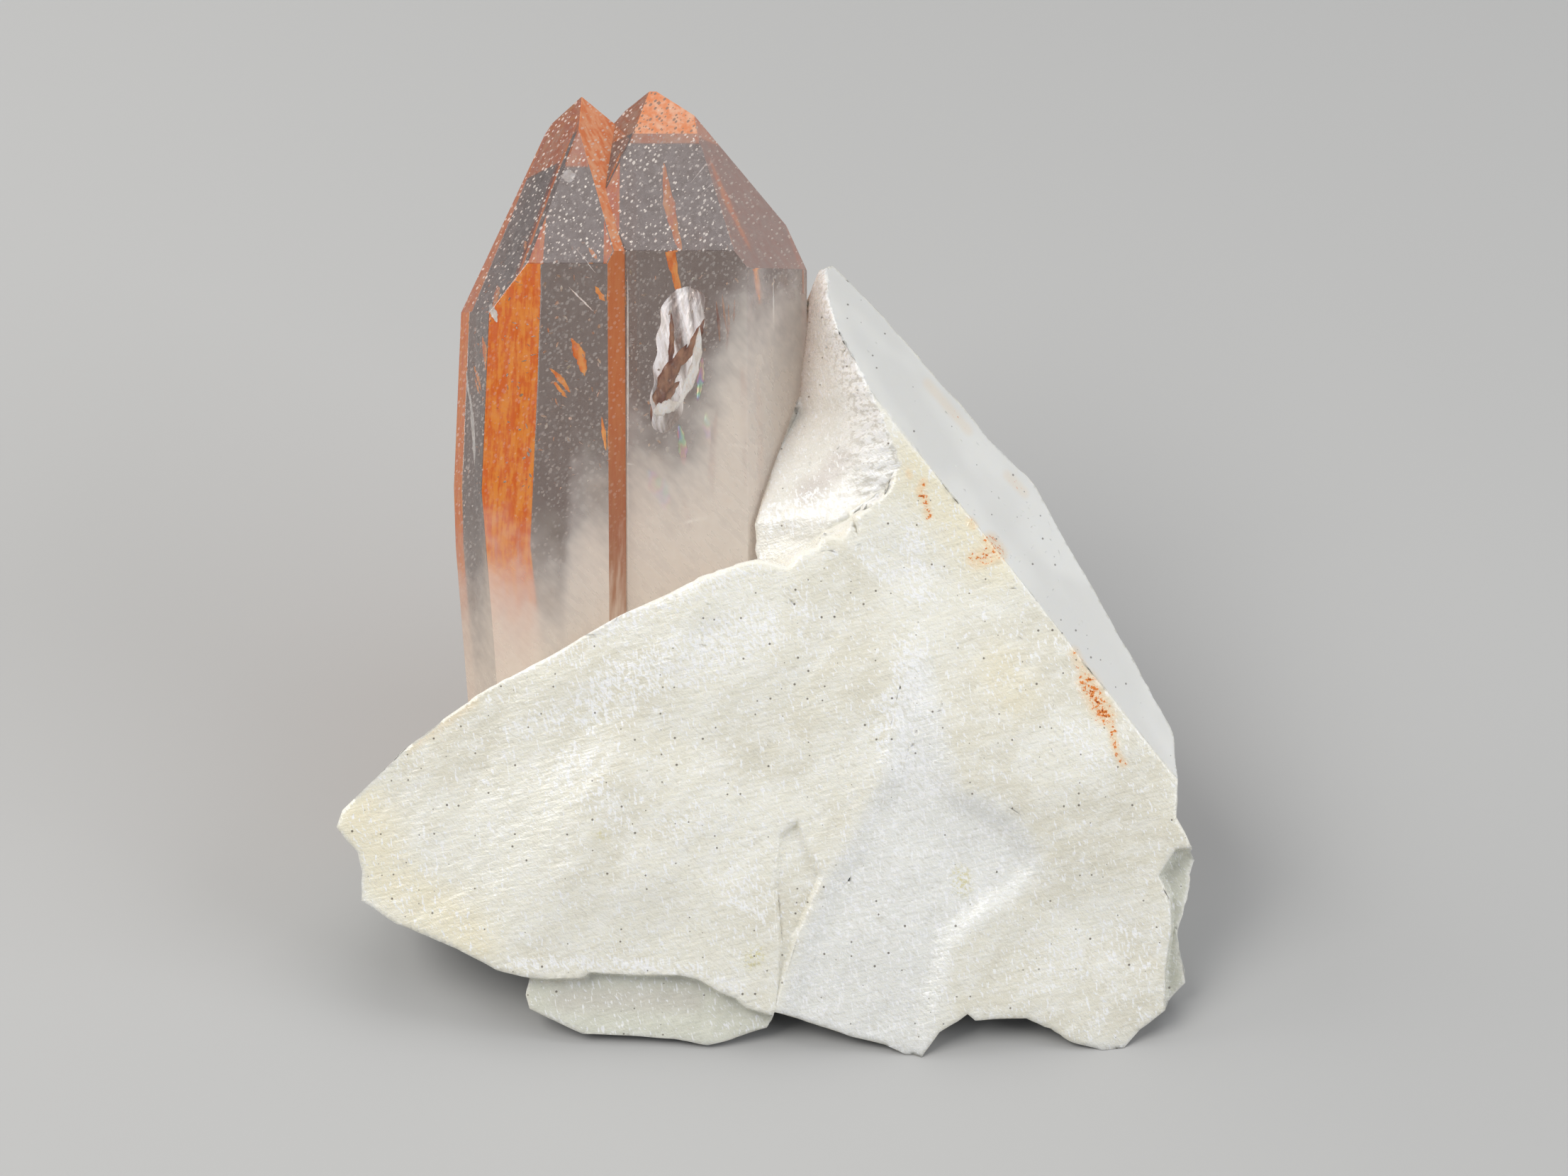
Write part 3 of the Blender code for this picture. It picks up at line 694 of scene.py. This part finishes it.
def add_lens(shape, start, end, width, thickness, bow):
    """Closed spindle from start to end, broad toward the front and flat in depth, bowed sideways."""
    start, end = Vector(start), Vector(end)
    run = end - start
    across = run.cross(Vector((0.0, 1.0, 0.0))).normalized()
    deep = across.cross(run).normalized()
    ends = [shape.verts.new(start), shape.verts.new(end)]
    loops = []
    for ring in range(1, LENS_RINGS):
        share = ring / LENS_RINGS
        swell = math.sin(math.pi * share) ** 0.8
        ragged = 1.0 + 0.28 * math.sin(9.0 * share + 5.0 * start.x) * math.sin(23.0 * share + start.z)
        centre = start + run * share + across * bow * math.sin(math.pi * share)
        loop = []
        for side in range(LENS_SIDES):
            turn = 2.0 * math.pi * side / LENS_SIDES
            sideways = across * (0.5 * width * swell * ragged * math.cos(turn))
            inward = deep * (0.5 * thickness * swell * math.sin(turn))
            loop.append(shape.verts.new(centre + sideways + inward))
        loops.append(loop)
    for side in range(LENS_SIDES):
        beside = (side + 1) % LENS_SIDES
        shape.faces.new([ends[0], loops[0][side], loops[0][beside]])
        shape.faces.new([ends[1], loops[-1][beside], loops[-1][side]])
        for near, far in zip(loops, loops[1:]):
            shape.faces.new([near[side], far[side], far[beside], near[beside]])


def build_lenses(name, lenses, surface):
    shape = bmesh.new()
    for lens in lenses:
        add_lens(shape, *lens)
    round_off(shape)
    add_piece(name, shape, surface)


def skin_lenses():
    """The skin marks as lenses, just inside the face before them."""
    crystals = crystal_tree()
    ahead = Vector((0.0, 1.0, 0.0))
    lenses = []
    for start, end, width in SKIN_MARKS:
        origins = [Vector((x, BEFORE_SPECIMEN, z)) for x, z in (start, end)]
        tips = [crystals.ray_cast(origin, ahead)[0] + ahead * SKIN_DEPTH for origin in origins]
        lenses.append((*tips, width, SKIN_THICKNESS, 0.0))
    return lenses


def mineral_surface(name, dark, bright, roughness, scale, painted_glow=0.0):
    """Two-tone stain with soft patches, for the small features sealed in the crystals. A painted glow, where
    one is given, is an emission in the same colour, though they are no lamp.
    """
    made = Surface(name, Emission_Strength=painted_glow)
    patches = made.noise(made.laid(made.place(), (1.0, 1.0, 0.4)), scale, 4.0, 0.6)
    colour = made.mix(made.step(patches, 0.35, 0.65), dark, bright)
    made.set(Base_Color=colour, Emission_Color=colour, Normal=made.bump(patches, 0.05))
    made.set(Roughness=made.step(patches, 0.3, 0.7, roughness, roughness + 0.2))
    return made.material


def rainbow_surface():
    """Painted thin-film reflection colours of a healed crack, in bands that follow its waves."""
    made = Surface("rainbow crack", Roughness=0.15, Metallic=0.35)
    waves = made.noise(made.laid(made.place(), (1.0, 1.0, 0.5)), 0.9)
    hue = made.math("FRACT", made.product(waves, 4.0))
    bands = made.node("ShaderNodeCombineColor", {0: hue, 1: 0.45, 2: 0.95}, mode="HSV")
    made.set(Base_Color=bands.outputs[0], Normal=made.bump(waves, 0.1))
    return made.material


def painted_reflection_surface():
    """Fracture painted with the light it mirrors: near-white streaks, made brighter by emission, are a painted
    reflection, with painted brownish-grey shade between them.
    """
    made = Surface("fracture with painted reflections", Metallic=0.3)
    long = made.laid(made.place(), (1.0, 0.3, 0.13), (0.0, 11.0, 0.0))
    streaks = made.noise(long, 0.8)
    scratches = made.noise(long, 4.0, 2.0, 0.6)
    # Painted reflection: near-white streaks stand in for the light the fracture mirrors, with brownish-grey
    # painted shade between them
    painted_reflection = made.mix(made.step(scratches, 0.35, 0.6), (0.80, 0.77, 0.74), (0.98, 0.98, 1.0))
    colour = made.mix(made.step(streaks, 0.50, 0.36, 0.0, 0.75), painted_reflection, (0.42, 0.33, 0.29))
    made.set(Base_Color=colour, Emission_Color=colour, Normal=made.bump(scratches, 0.06))
    # Painted light: the bright streaks glow by emission
    made.set(Emission_Strength=made.step(streaks, 0.36, 0.62, 0.04, 0.50))
    made.set(Roughness=made.step(scratches, 0.35, 0.65, 0.12, 0.35))
    return made.material


def fracture_place(down, across, back):
    """Point of the curved fracture: down from 0 to 1, across from -1 to 1, back behind its front sheet."""
    half = 0.5 * (FRACTURE_WIDTHS[0] * (1.0 - down) + FRACTURE_WIDTHS[1] * down)
    half *= math.sqrt(max(0.0, 1.0 - abs(2.0 * down - 1.0) ** 5)) + 0.02
    place = Vector(FRACTURE_TOP).lerp(Vector(FRACTURE_FOOT), down) + Vector((half * across, 0.0, 0.0))
    cup = 0.55 * across * abs(across) + 0.5 * across * down
    ripple = 0.04 * math.sin(26.0 * down + 3.2 * across * across + 2.0 * across)
    comb = 0.09 * math.sin(15.0 * across + 4.0 * down)
    sway = 0.25 * math.sin(7.0 * down + 1.0) * (1.0 - abs(across))
    place.x += sway + 0.12 * math.sin(31.0 * down)
    place.y += cup + (ripple + comb) * (1.0 - 0.3 * down) + back
    return place


def build_fracture():
    """Fracture in the right crystal, silvery by painted reflection: a thin closed sheet with shell-like
    ripples.
    """
    columns, rows = FRACTURE_COLUMNS, FRACTURE_ROWS
    shape = bmesh.new()

    def sheet(back):
        return [[shape.verts.new(fracture_place(row / rows, 2.0 * column / columns - 1.0, back))
                 for column in range(columns + 1)] for row in range(rows + 1)]

    near, far = sheet(0.0), sheet(FRACTURE_THICKNESS)
    for row, column in itertools.product(range(rows), range(columns)):
        corners = [(row, column), (row, column + 1), (row + 1, column + 1), (row + 1, column)]
        shape.faces.new([near[r][c] for r, c in corners])
        shape.faces.new([far[r][c] for r, c in reversed(corners)])
    rim = [(0, c) for c in range(columns)] + [(r, columns) for r in range(rows)]
    rim += [(rows, c) for c in range(columns, 0, -1)] + [(r, 0) for r in range(rows, 0, -1)]
    for (r, c), (s, d) in zip(rim, rim[1:] + rim[:1]):
        shape.faces.new([near[r][c], near[s][d], far[s][d], far[r][c]])
    round_off(shape)
    add_piece("inner_fracture", shape, painted_reflection_surface())


def build_flecks():
    """Tiny flat inclusions, scattered above the cloud of the clear crystals."""
    crystals = crystal_tree()
    rng = np.random.default_rng(77)
    shape = bmesh.new()
    made = 0
    while made < FLECKS:
        place = Vector(rng.uniform(*FLECK_SPACE))
        turn, size = rng.uniform(0.0, math.pi, 3), rng.uniform(*FLECK_SIZES)
        if place.z < FLECK_FLOOR + FLECK_FLOOR_RISE * max(0.0, place.x - CLOUD_LEAN_AT[0]):
            continue
        nearest, normal, _, _ = crystals.find_nearest(place)
        if (place - nearest).dot(normal) > -FLECK_CLEARANCE:
            continue
        pose = Matrix.Translation(place)
        for angle, axis in zip(turn, "XYZ"):
            pose = pose @ Matrix.Rotation(angle, 4, axis)
        pose = pose @ Matrix.Diagonal((*(size * extent for extent in FLECK_SHAPE), 1.0))
        bmesh.ops.create_icosphere(shape, subdivisions=1, radius=1.0, matrix=pose)
        made += 1
    surface = mineral_surface("pale inclusions", (0.80, 0.66, 0.48), (0.97, 0.95, 0.90), 0.2, 2.0)
    add_piece("inner_flecks", shape, surface)


def build_inner_features():
    rust = mineral_surface("rusty inclusions", (0.30, 0.10, 0.05), (0.72, 0.38, 0.22), 0.3, 1.2)
    # Painted glow: the orange inclusions and the white cracks and marks shine by emission
    orange = mineral_surface("orange inclusions", (0.80, 0.20, 0.02), (0.98, 0.46, 0.12), 0.4, 1.5, 0.3)
    white = mineral_surface("white cracks", (0.80, 0.74, 0.66), (0.98, 0.97, 0.94), 0.2, 2.5, 0.3)
    build_lenses("inner_rust", RUST_LENSES, rust)
    build_lenses("inner_orange", ORANGE_LENSES, orange)
    build_lenses("inner_cracks", WHITE_LENSES, white)
    build_lenses("inner_marks", skin_lenses(), white)
    build_lenses("inner_rainbow", RAINBOW_LENSES, rainbow_surface())
    build_fracture()
    build_flecks()


# Milky mass

FRONT_EDGE = 0.46
BACK_EDGE = 0.9
REFINE_LIMITS = (16.0, 8.0, 4.0, 2.0, 1.4, 1.0, 0.7, 0.5)
SHARP_ANGLE = math.radians(38.0)
FRONT, BROKEN, GROWN, SOCKET, BASE = range(5)
FRONT_TOLERANCE = 0.9
FACING_FRONT = 0.25
FACING_FRONT_BY_FAN = 0.05
FAN_MARGIN = 1.5
SOCKET_REACH = 0.45
GROWN_ALIGNMENT = 0.9995
FLOOR_ALIGNMENT = 0.9998
FLOOR_NORMAL = Vector((0.0, math.sin(LEAN_ANGLE), -math.cos(LEAN_ANGLE)))
GROWN_NORMALS = [Vector(normal).normalized() for normal in (
    (-0.447, 0.295, 0.894), (-0.686, 0.24, 0.728), (0.35, 0.78, 0.52), (0.86, 0.455, 0.232), (0.05, 0.9, 0.4))]

# Noise of the relief: size, seed, stretch, turn in degrees
HACKLE = (1.0, 21, (1.7, 1.0, 0.62), 38.0)
CHIPS = (2.3, 22, (1.4, 1.0, 0.8), 30.0)
SWELLS = (6.0, 23, (1.5, 1.0, 0.8), 35.0)
RUNG_BEND = (3.5, 24)
BACK_HACKLE = (2.2, 31, (1.5, 1.0, 0.8), 20.0)
BACK_SWELLS = (4.5, 32)
BACK_CHIPS = (1.3, 33)
GROWN_STEPS = (1.5, 41, (5.0, 1.0, 1.0), 8.0)
GROWN_SWELLS = (5.0, 42)
RUNG_DIRECTION = (0.42, -0.907)
RUNG_SPACING = 1.15
RUNG_HEIGHT = 0.16
RUNGS_END = (0.62, 0.15)


# Markings of the broken front: line of (x, z), reach, strength
STAINS = [
    ([(12.3, 45.3), (12.0, 44.6), (12.5, 43.6)], 0.6, 0.9),
    ([(12.6, 43.0), (12.7, 42.6)], 0.6, 0.9),
    ([(11.1, 46.0), (11.2, 45.8)], 0.5, 0.9),
    ([(16.0, 42.2), (16.2, 41.9)], 0.7, 0.75),
    ([(16.4, 39.2), (18.2, 39.7), (17.6, 40.6)], 1.3, 0.85),
    ([(24.1, 31.9), (24.8, 30.4)], 0.9, 0.65),
    ([(25.1, 29.6), (26.0, 27.8), (26.5, 27.0)], 1.5, 1.0),
    ([(26.8, 26.6), (27.1, 25.5), (27.3, 24.2), (27.9, 23.2)], 0.6, 0.9),
    ([(-28.4, 24.4), (-25.6, 26.4), (-23.1, 28.2)], 1.0, 0.5),
    ([(13.1, 53.7), (16.4, 49.9)], 0.9, 0.45),
    ([(19.7, 46.2), (21.1, 44.8)], 0.9, 0.45),
]
VEILS = [
    ([(-19.4, 25.9), (-11.6, 27.5)], 1.8, 0.6),
    ([(-12.6, 29.0), (-7.2, 31.3), (-0.8, 33.8)], 3.6, 0.9),
    ([(-16.2, 32.6), (-7.2, 36.4), (-0.8, 38.7)], 1.9, 0.7),
    ([(-15.7, 23.4), (-11.6, 19.3)], 2.6, 0.6),
    ([(-7.2, 18.0), (-5.5, 19.0)], 2.3, 0.6),
    ([(-0.8, 12.7), (-2.5, 14.0)], 3.2, 0.7),
    ([(11.4, 41.1), (11.9, 36.6)], 2.0, 0.85),
    ([(7.7, 39.7), (10.5, 37.3)], 1.8, 0.55),
    ([(11.2, 31.9), (11.2, 29.6), (9.6, 25.2), (12.7, 21.6)], 2.7, 0.95),
    ([(2.1, 36.1), (2.9, 35.1)], 1.9, 0.6),
    ([(24.1, 25.8), (25.6, 23.7)], 2.6, 0.5),
    ([(21.5, 7.4), (29.3, 8.7)], 4.6, 0.45),
    ([(0.7, 42.5), (4.7, 43.7)], 2.3, 0.85),
    ([(-19.8, 7.6), (-13.9, 7.7), (-9.7, 7.5), (-5.4, 7.2), (-2.0, 5.6)], 0.8, 0.9),
]
CREAMS = [
    ([(12.6, 46.2), (17.6, 39.7)], 4.6, 0.9),
    ([(18.1, 30.7), (19.4, 28.8)], 3.2, 0.6),
    ([(-31.9, 19.3), (-29.9, 14.2), (-23.3, 9.6)], 3.6, 0.8),
]
GREYS = [
    ([(5.9, 47.2), (4.6, 45.6), (3.1, 44.6)], 1.5, 0.9),
    ([(-16.0, 4.6), (-6.0, 4.6)], 1.6, 0.5),
]
YELLOW_SPOTS = [([(15.2, 14.4), (15.3, 13.6)], 1.2, 1.0), ([(-12.9, 17.8), (-12.7, 17.7)], 0.6, 0.8),
                ([(-1.2, 7.8), (-0.8, 8.4)], 1.1, 0.9)]


MARKINGS = {"stain": STAINS, "veil": VEILS, "cream": CREAMS, "grey": GREYS, "yellow": YELLOW_SPOTS}

# Colours; a pair runs from the darker to the paler tone
BODY_TONES = ((0.81, 0.78, 0.67), (0.89, 0.87, 0.775))
BODY_VEIL = (0.93, 0.92, 0.86)
FAN_TONES = ((0.81, 0.81, 0.76), (0.93, 0.93, 0.90))
RECESS_TONES = ((0.80, 0.775, 0.70), (0.91, 0.89, 0.84))
LEDGE_TONES = ((0.66, 0.66, 0.56), (0.88, 0.88, 0.78))
SIDE_TONES = ((0.84, 0.835, 0.80), (0.93, 0.925, 0.88))
RUNG_TONES = ((0.70, 0.68, 0.63), (0.99, 0.985, 0.96))
CREAM_TONE = (0.92, 0.85, 0.65)
GREY_TONE = (0.62, 0.56, 0.52)
# The gap tone is painted shade between the strokes; the stroke tone is partly white veils, partly painted
# glints
GAP_SHADE_TONE = (0.64, 0.61, 0.53)
STROKE_AND_GLINT_TONE = (1.0, 1.0, 0.985)
STAIN_HALO = (0.91, 0.66, 0.38)
STAIN_ORANGE = (0.80, 0.25, 0.035)
STAIN_DARK = (0.26, 0.045, 0.012)
YELLOW_TONE = (0.72, 0.66, 0.34)
GROWN_RUST = ((0.80, 0.40, 0.16), (0.90, 0.64, 0.42))
DARK_GRAIN = (0.10, 0.075, 0.05)
SIDE_ROUGHNESS = 0.30
STROKE_ROUGHNESS = (0.36, 0.18)


def kind_of_face(face, crystals):
    normal = face.normal
    if normal.dot(FLOOR_NORMAL) > FLOOR_ALIGNMENT:
        return BASE
    if crystals.find_nearest(face.calc_center_median(), SOCKET_REACH)[0] is not None:
        return SOCKET
    if any(normal.dot(grown) > GROWN_ALIGNMENT for grown in GROWN_NORMALS):
        return GROWN
    return BROKEN


def sort_faces(shape):
    """Marks each face of the milky mass by what it is, in its material number."""
    crystals = crystal_tree()
    centres = np.array([tuple(face.calc_center_median()) for face in shape.faces])
    flat = centres[:, [0, 2]]
    by_fan = (polygon_distance(flat, FAN) > -FAN_MARGIN) & (centres[:, 2] > FAN_FOOT)
    on_front = np.abs(centres[:, 1] - front_depth(flat)) < FRONT_TOLERANCE
    for face, close, near_fan in zip(shape.faces, on_front, by_fan):
        facing = -face.normal.y > (FACING_FRONT_BY_FAN if near_fan else FACING_FRONT)
        face.material_index = FRONT if facing and close else kind_of_face(face, crystals)


def refine(shape):
    """Halves every edge that is too long for the relief, until none is."""
    bmesh.ops.triangulate(shape, faces=shape.faces)
    for limit in REFINE_LIMITS:
        for _ in range(2):
            long = []
            for edge in shape.edges:
                front = any(face.material_index == FRONT for face in edge.link_faces)
                if edge.calc_length() > max(limit, FRONT_EDGE if front else BACK_EDGE):
                    long.append(edge)
            if not long:
                break
            bmesh.ops.subdivide_edges(shape, edges=long, cuts=1, use_grid_fill=True)
            bmesh.ops.triangulate(shape, faces=[face for face in shape.faces if len(face.verts) > 3])


def ridged(points, noise):
    return 1.0 - 2.0 * np.abs(lump_noise(points, *noise))


def front_relief(points):
    """Height of the fine relief on the front: hackly on the break, rungs by the ridge, calm beside it."""
    flat = points[:, [0, 2]]
    chips = lump_noise(points, *CHIPS)
    swells = lump_noise(points, *SWELLS)
    broken = 0.03 * ridged(points, HACKLE) + 0.04 * chips + 0.10 * swells
    calm = 0.03 * swells + 0.012 * chips
    along = flat @ np.array(RUNG_DIRECTION) / RUNG_SPACING + 0.9 * lump_noise(points, *RUNG_BEND)
    rungs = np.abs(along % 1.0 - 0.5) * 2.0
    recess = RUNG_HEIGHT * rungs * smooth_step(*RUNGS_END, recess_across(flat)[1]) + 0.8 * broken
    side = smooth_step(0.0, 0.5, side_depth(flat) - broken_depth(flat))
    return np.where(in_recess(flat), recess, broken * (1.0 - side) + calm * side)


def back_relief(points):
    swells, chips = lump_noise(points, *BACK_SWELLS), lump_noise(points, *BACK_CHIPS)
    return 0.13 * ridged(points, BACK_HACKLE) + 0.16 * swells + 0.06 * chips


def grown_relief(points):
    return 0.02 * lump_noise(points, *GROWN_STEPS) + 0.03 * lump_noise(points, *GROWN_SWELLS)


def shape_relief(shape):
    """Lays the front on its true curve and adds the fine relief, none of it on sockets or the base."""
    shape.normal_update()
    places = np.array([tuple(vert.co) for vert in shape.verts])
    normals = np.array([tuple(vert.normal) for vert in shape.verts])
    kinds = [{face.material_index for face in vert.link_faces} for vert in shape.verts]
    only = {kind: np.array([found == {kind} for found in kinds]) for kind in (FRONT, BROKEN, GROWN)}
    mixed = np.array([len(found) > 1 and not found & {SOCKET, BASE} for found in kinds])
    true_depth = front_depth(places[:, [0, 2]])
    close = np.abs(true_depth - places[:, 1]) < 2.0 * FRONT_TOLERANCE
    places[:, 1] = np.where(only[FRONT] & close, true_depth, places[:, 1])
    height = np.where(only[FRONT], front_relief(places), 0.0)
    height += np.where(only[BROKEN], back_relief(places), 0.0)
    height += np.where(only[GROWN], grown_relief(places), 0.0)
    height += np.where(mixed, 0.5 * back_relief(places) - 0.04, 0.0)
    places += normals * height[:, None]
    for vert, place in zip(shape.verts, places):
        vert.co = place
    return places, only


def marking(flat, lines):
    """Strength of a marking at (x, z) points: full on its lines, none beyond their reach."""
    total = np.zeros(len(flat))
    for line, reach, strength in lines:
        total = np.maximum(total, strength * smooth_step(reach, 0.15 * reach, line_distance(flat, line)))
    return total


def milky_masks(places, only):
    """What each point of the milky mass is, from 0 to 1, for its material."""
    flat = places[:, [0, 2]]
    front = only[FRONT]
    recess = in_recess(flat) & front
    lumps = lump_noise(places, 5.0, 51) + 0.6 * lump_noise(places, 1.8, 52, (3.0, 1.0, 1.0))
    lower_ledge = smooth_step(-0.1, 0.4, polygon_distance(flat, LOWER_LEDGE))
    right_ledge = smooth_step(-0.1, 0.6, polygon_distance(flat, RIGHT_LEDGE))
    masks = {
        "broken": (only[BROKEN] | front) * 1.0,
        "side": smooth_step(-0.1, 0.3, side_depth(flat) - broken_depth(flat)) * (front & ~recess),
        "fan": smooth_step(-0.6, 1.0, polygon_distance(flat, FAN)) * front,
        "recess": recess * 1.0,
        "rungs": recess * smooth_step(*RUNGS_END, recess_across(flat)[1]),
        "ledge": np.maximum(lower_ledge, right_ledge) * front,
        "grown_film": only[GROWN] * (0.35 + 0.65 * smooth_step(-0.9, 0.9, lumps)),
        "cloud": smooth_step(-0.6, 0.6, lump_noise(places, 6.0, 53) + 0.5 * lump_noise(places, 2.6, 54)),
    }
    masks.update({name: marking(flat, lines) * front for name, lines in MARKINGS.items()})
    return masks


def milky_body(made, mark, mottle, strokes, threads, ribs):
    """Cloudy body with its regions, crossed by short white strokes that are partly white veils and partly
    painted glints, with painted shade in the gaps between them; and the share that is rough.
    """
    colour = made.mix(mark["cloud"], *BODY_TONES)
    colour = made.mix(made.step(mottle, 0.42, 0.66, 0.0, 0.6), colour, BODY_VEIL)
    for region, tones in (("fan", FAN_TONES), ("recess", RECESS_TONES), ("ledge", LEDGE_TONES)):
        colour = made.mix(mark[region], colour, made.mix(mottle, *tones))
    for region, share, tone in (("cream", 0.8, CREAM_TONE), ("grey", 0.7, GREY_TONE)):
        colour = made.mix(made.product(mark[region], share), colour, tone)
    colour = made.mix(mark["side"], colour, made.mix(mark["cloud"], *SIDE_TONES))
    rough = made.product(mark["broken"], made.step(mark["side"], 0.0, 1.0, 1.0, 0.06))
    # Painted shade in the gaps between the strokes, where their bump is low
    shaded_gaps = made.product(made.step(strokes, 0.44, 0.32), rough, 0.35)
    veiled = made.largest(mark["veil"], made.product(mark["fan"], 0.4))
    threshold = made.step(veiled, 0.0, 1.0, 0.60, 0.49)
    bright = made.step(made.math("SUBTRACT", made.largest(strokes, threads), threshold), 0.0, 0.12)
    colour = made.mix(shaded_gaps, colour, GAP_SHADE_TONE)
    # White strokes: partly white veils, partly painted glints
    colour = made.mix(made.product(bright, rough, 0.95), colour, STROKE_AND_GLINT_TONE)
    ribbed = made.mix(made.step(ribs, 0.40, 0.52), *RUNG_TONES)
    return made.mix(made.product(mark["rungs"], 0.85), colour, ribbed)


def stained(made, mark, place, mottle, colour):
    """Adds iron stains, yellow spots, the film on the grown faces of the back and dark grains."""
    patches = made.noise(place, 3.4, 2.0, 0.7)
    reach = made.total(mark["stain"], made.swing(patches, 3.2))
    inside = made.step(mark["stain"], 0.25, 0.45)
    rust = made.mix(patches, *GROWN_RUST)
    layers = (
        (made.step(mark["stain"], 0.0, 1.0, 0.0, 0.55), STAIN_HALO),
        (made.product(made.step(reach, 0.90, 1.25), inside), STAIN_ORANGE),
        (made.product(made.step(reach, 1.35, 1.5), inside), STAIN_DARK),
        (made.product(mark["yellow"], made.step(patches, 0.46, 0.60), 0.8), YELLOW_TONE),
        (made.product(mark["grown_film"], made.step(mottle, 0.3, 0.65, 0.25, 0.75)), rust),
        (made.product(made.specks(made.flat(place), 0.95, 0.12, 0.30), 0.8), DARK_GRAIN),
    )
    for part, tone in layers:
        colour = made.mix(part, colour, tone)
    return colour


def milky_quartz_surface(masks):
    made = Surface("milky quartz", Subsurface_Weight=0.4, Subsurface_Scale=0.0013,
                   Subsurface_Radius=(1.0, 0.94, 0.80), Coat_Weight=0.35, Coat_Roughness=0.15)
    place = made.place()
    mark = made.masks(masks)
    mottle = made.noise(made.laid(place, (0.6, 0.8, 1.0), (0.0, 38.0, 0.0)), 0.9, 3.0, 0.62)
    strokes = made.noise(made.laid(place, (0.38, 0.7, 1.1), (0.0, -44.0, 0.0)), 4.6, 2.0, 0.62)
    threads = made.noise(made.laid(place, (1.1, 0.7, 0.38), (0.0, 12.0, 0.0)), 4.0, 1.0, 0.6)
    ribs = made.noise(made.laid(place, (0.30, 0.8, 1.3), (0.0, 14.0, 0.0)), 2.4, 2.0, 0.6)
    body = milky_body(made, mark, mottle, strokes, threads, ribs)
    made.set(Base_Color=stained(made, mark, place, mottle, body))

    glint = made.step(strokes, 0.42, 0.62, *STROKE_ROUGHNESS)
    made.set(Roughness=made.between(mark["side"], glint, SIDE_ROUGHNESS))
    height = made.total(made.product(strokes, 0.5), made.product(ribs, 0.8))
    calm = made.step(mark["side"], 0.0, 1.0, 1.0, 0.10)
    made.set(Normal=made.bump(made.product(height, calm), 0.16, 0.7))
    return made.material


def build_milky_mass():
    shape = growth_copy("milky_quartz")
    sort_faces(shape)
    refine(shape)
    masks = milky_masks(*shape_relief(shape))
    for face in shape.faces:
        face.material_index = 0
        face.smooth = True
    piece = add_piece("milky_mass", shape, milky_quartz_surface(masks), "milky_quartz")
    for name, values in masks.items():
        attribute = piece.data.attributes.new(name, "FLOAT", "POINT")
        attribute.data.foreach_set("value", np.asarray(values, np.float32))
    piece.data.set_sharp_from_angle(angle=SHARP_ANGLE)


# Stage

STAGE_CENTRE = (0.0, 0.0, 0.025)
FLOOR_RADIUS = 3.0
FLOOR_COLOUR = (0.46, 0.46, 0.455, 1.0)
# Name, place, power in watts, size, colour
SOFTBOXES = [
    ("key softbox", (-0.36, -0.17, 0.56), 2.7, (0.40, 0.40), (1.0, 0.98, 0.94)),
    ("top softbox", (0.10, 0.25, 0.60), 1.0, (0.60, 0.35), (1.0, 1.0, 1.0)),
    ("fill softbox", (0.50, -0.15, 0.30), 1.5, (0.40, 0.40), (0.97, 0.98, 1.0)),
    ("back softbox", (-0.50, 0.22, 0.34), 1.3, (0.40, 0.40), (1.0, 0.98, 0.95)),
]
ROOM_COLOUR = (0.92, 0.95, 1.0, 1.0)
ROOM_LIGHT = 0.25


def add_softbox(name, place, power, size, colour):
    light = bpy.data.lights.new(name, "AREA")
    light.energy = power
    light.color = colour
    light.shape = "RECTANGLE"
    light.size, light.size_y = size
    made = bpy.data.objects.new(name, light)
    bpy.context.scene.collection.objects.link(made)
    made.location = place
    made.rotation_euler = (Vector(STAGE_CENTRE) - Vector(place)).to_track_quat("-Z", "Y").to_euler()


def build_stage():
    shape = bmesh.new()
    bmesh.ops.create_circle(shape, cap_ends=True, segments=96, radius=FLOOR_RADIUS)
    mesh = bpy.data.meshes.new("floor")
    shape.to_mesh(mesh)
    shape.free()
    mesh.materials.append(Surface("pale floor", Base_Color=FLOOR_COLOUR, Roughness=0.75).material)
    floor = bpy.data.objects.new("floor", mesh)
    bpy.context.scene.collection.objects.link(floor)
    for softbox in SOFTBOXES:
        add_softbox(*softbox)

    world = bpy.data.worlds.new("soft studio")
    world.use_nodes = True
    background = world.node_tree.nodes["Background"]
    background.inputs["Color"].default_value = ROOM_COLOUR
    background.inputs["Strength"].default_value = ROOM_LIGHT
    bpy.context.scene.world = world
    bpy.context.scene.view_settings.view_transform = "Standard"


def limit_light_paths():
    """Keeps the light paths inside the crystals from growing long."""
    cycles = bpy.context.scene.cycles
    cycles.max_bounces = 7
    cycles.diffuse_bounces = 1
    cycles.glossy_bounces = 2
    cycles.transmission_bounces = 7
    cycles.caustics_reflective = False


def build_camera():
    data = bpy.data.cameras.new("camera")
    data.sensor_width = SENSOR_WIDTH
    data.sensor_fit = "HORIZONTAL"
    data.lens = SENSOR_WIDTH * FOCAL_PIXELS / PHOTO_WIDTH
    data.clip_start = 0.01
    data.clip_end = 20.0
    camera = bpy.data.objects.new("camera", data)
    bpy.context.scene.collection.objects.link(camera)
    camera.location = GROWTH_TO_WORLD @ CAMERA_PLACE
    camera.rotation_euler = (math.radians(90.0) - LEAN_ANGLE, 0.0, 0.0)
    bpy.context.scene.camera = camera


def main():
    build_clear_crystals()
    build_inner_features()
    build_milky_mass()
    build_stage()
    limit_light_paths()
    build_camera()


main()
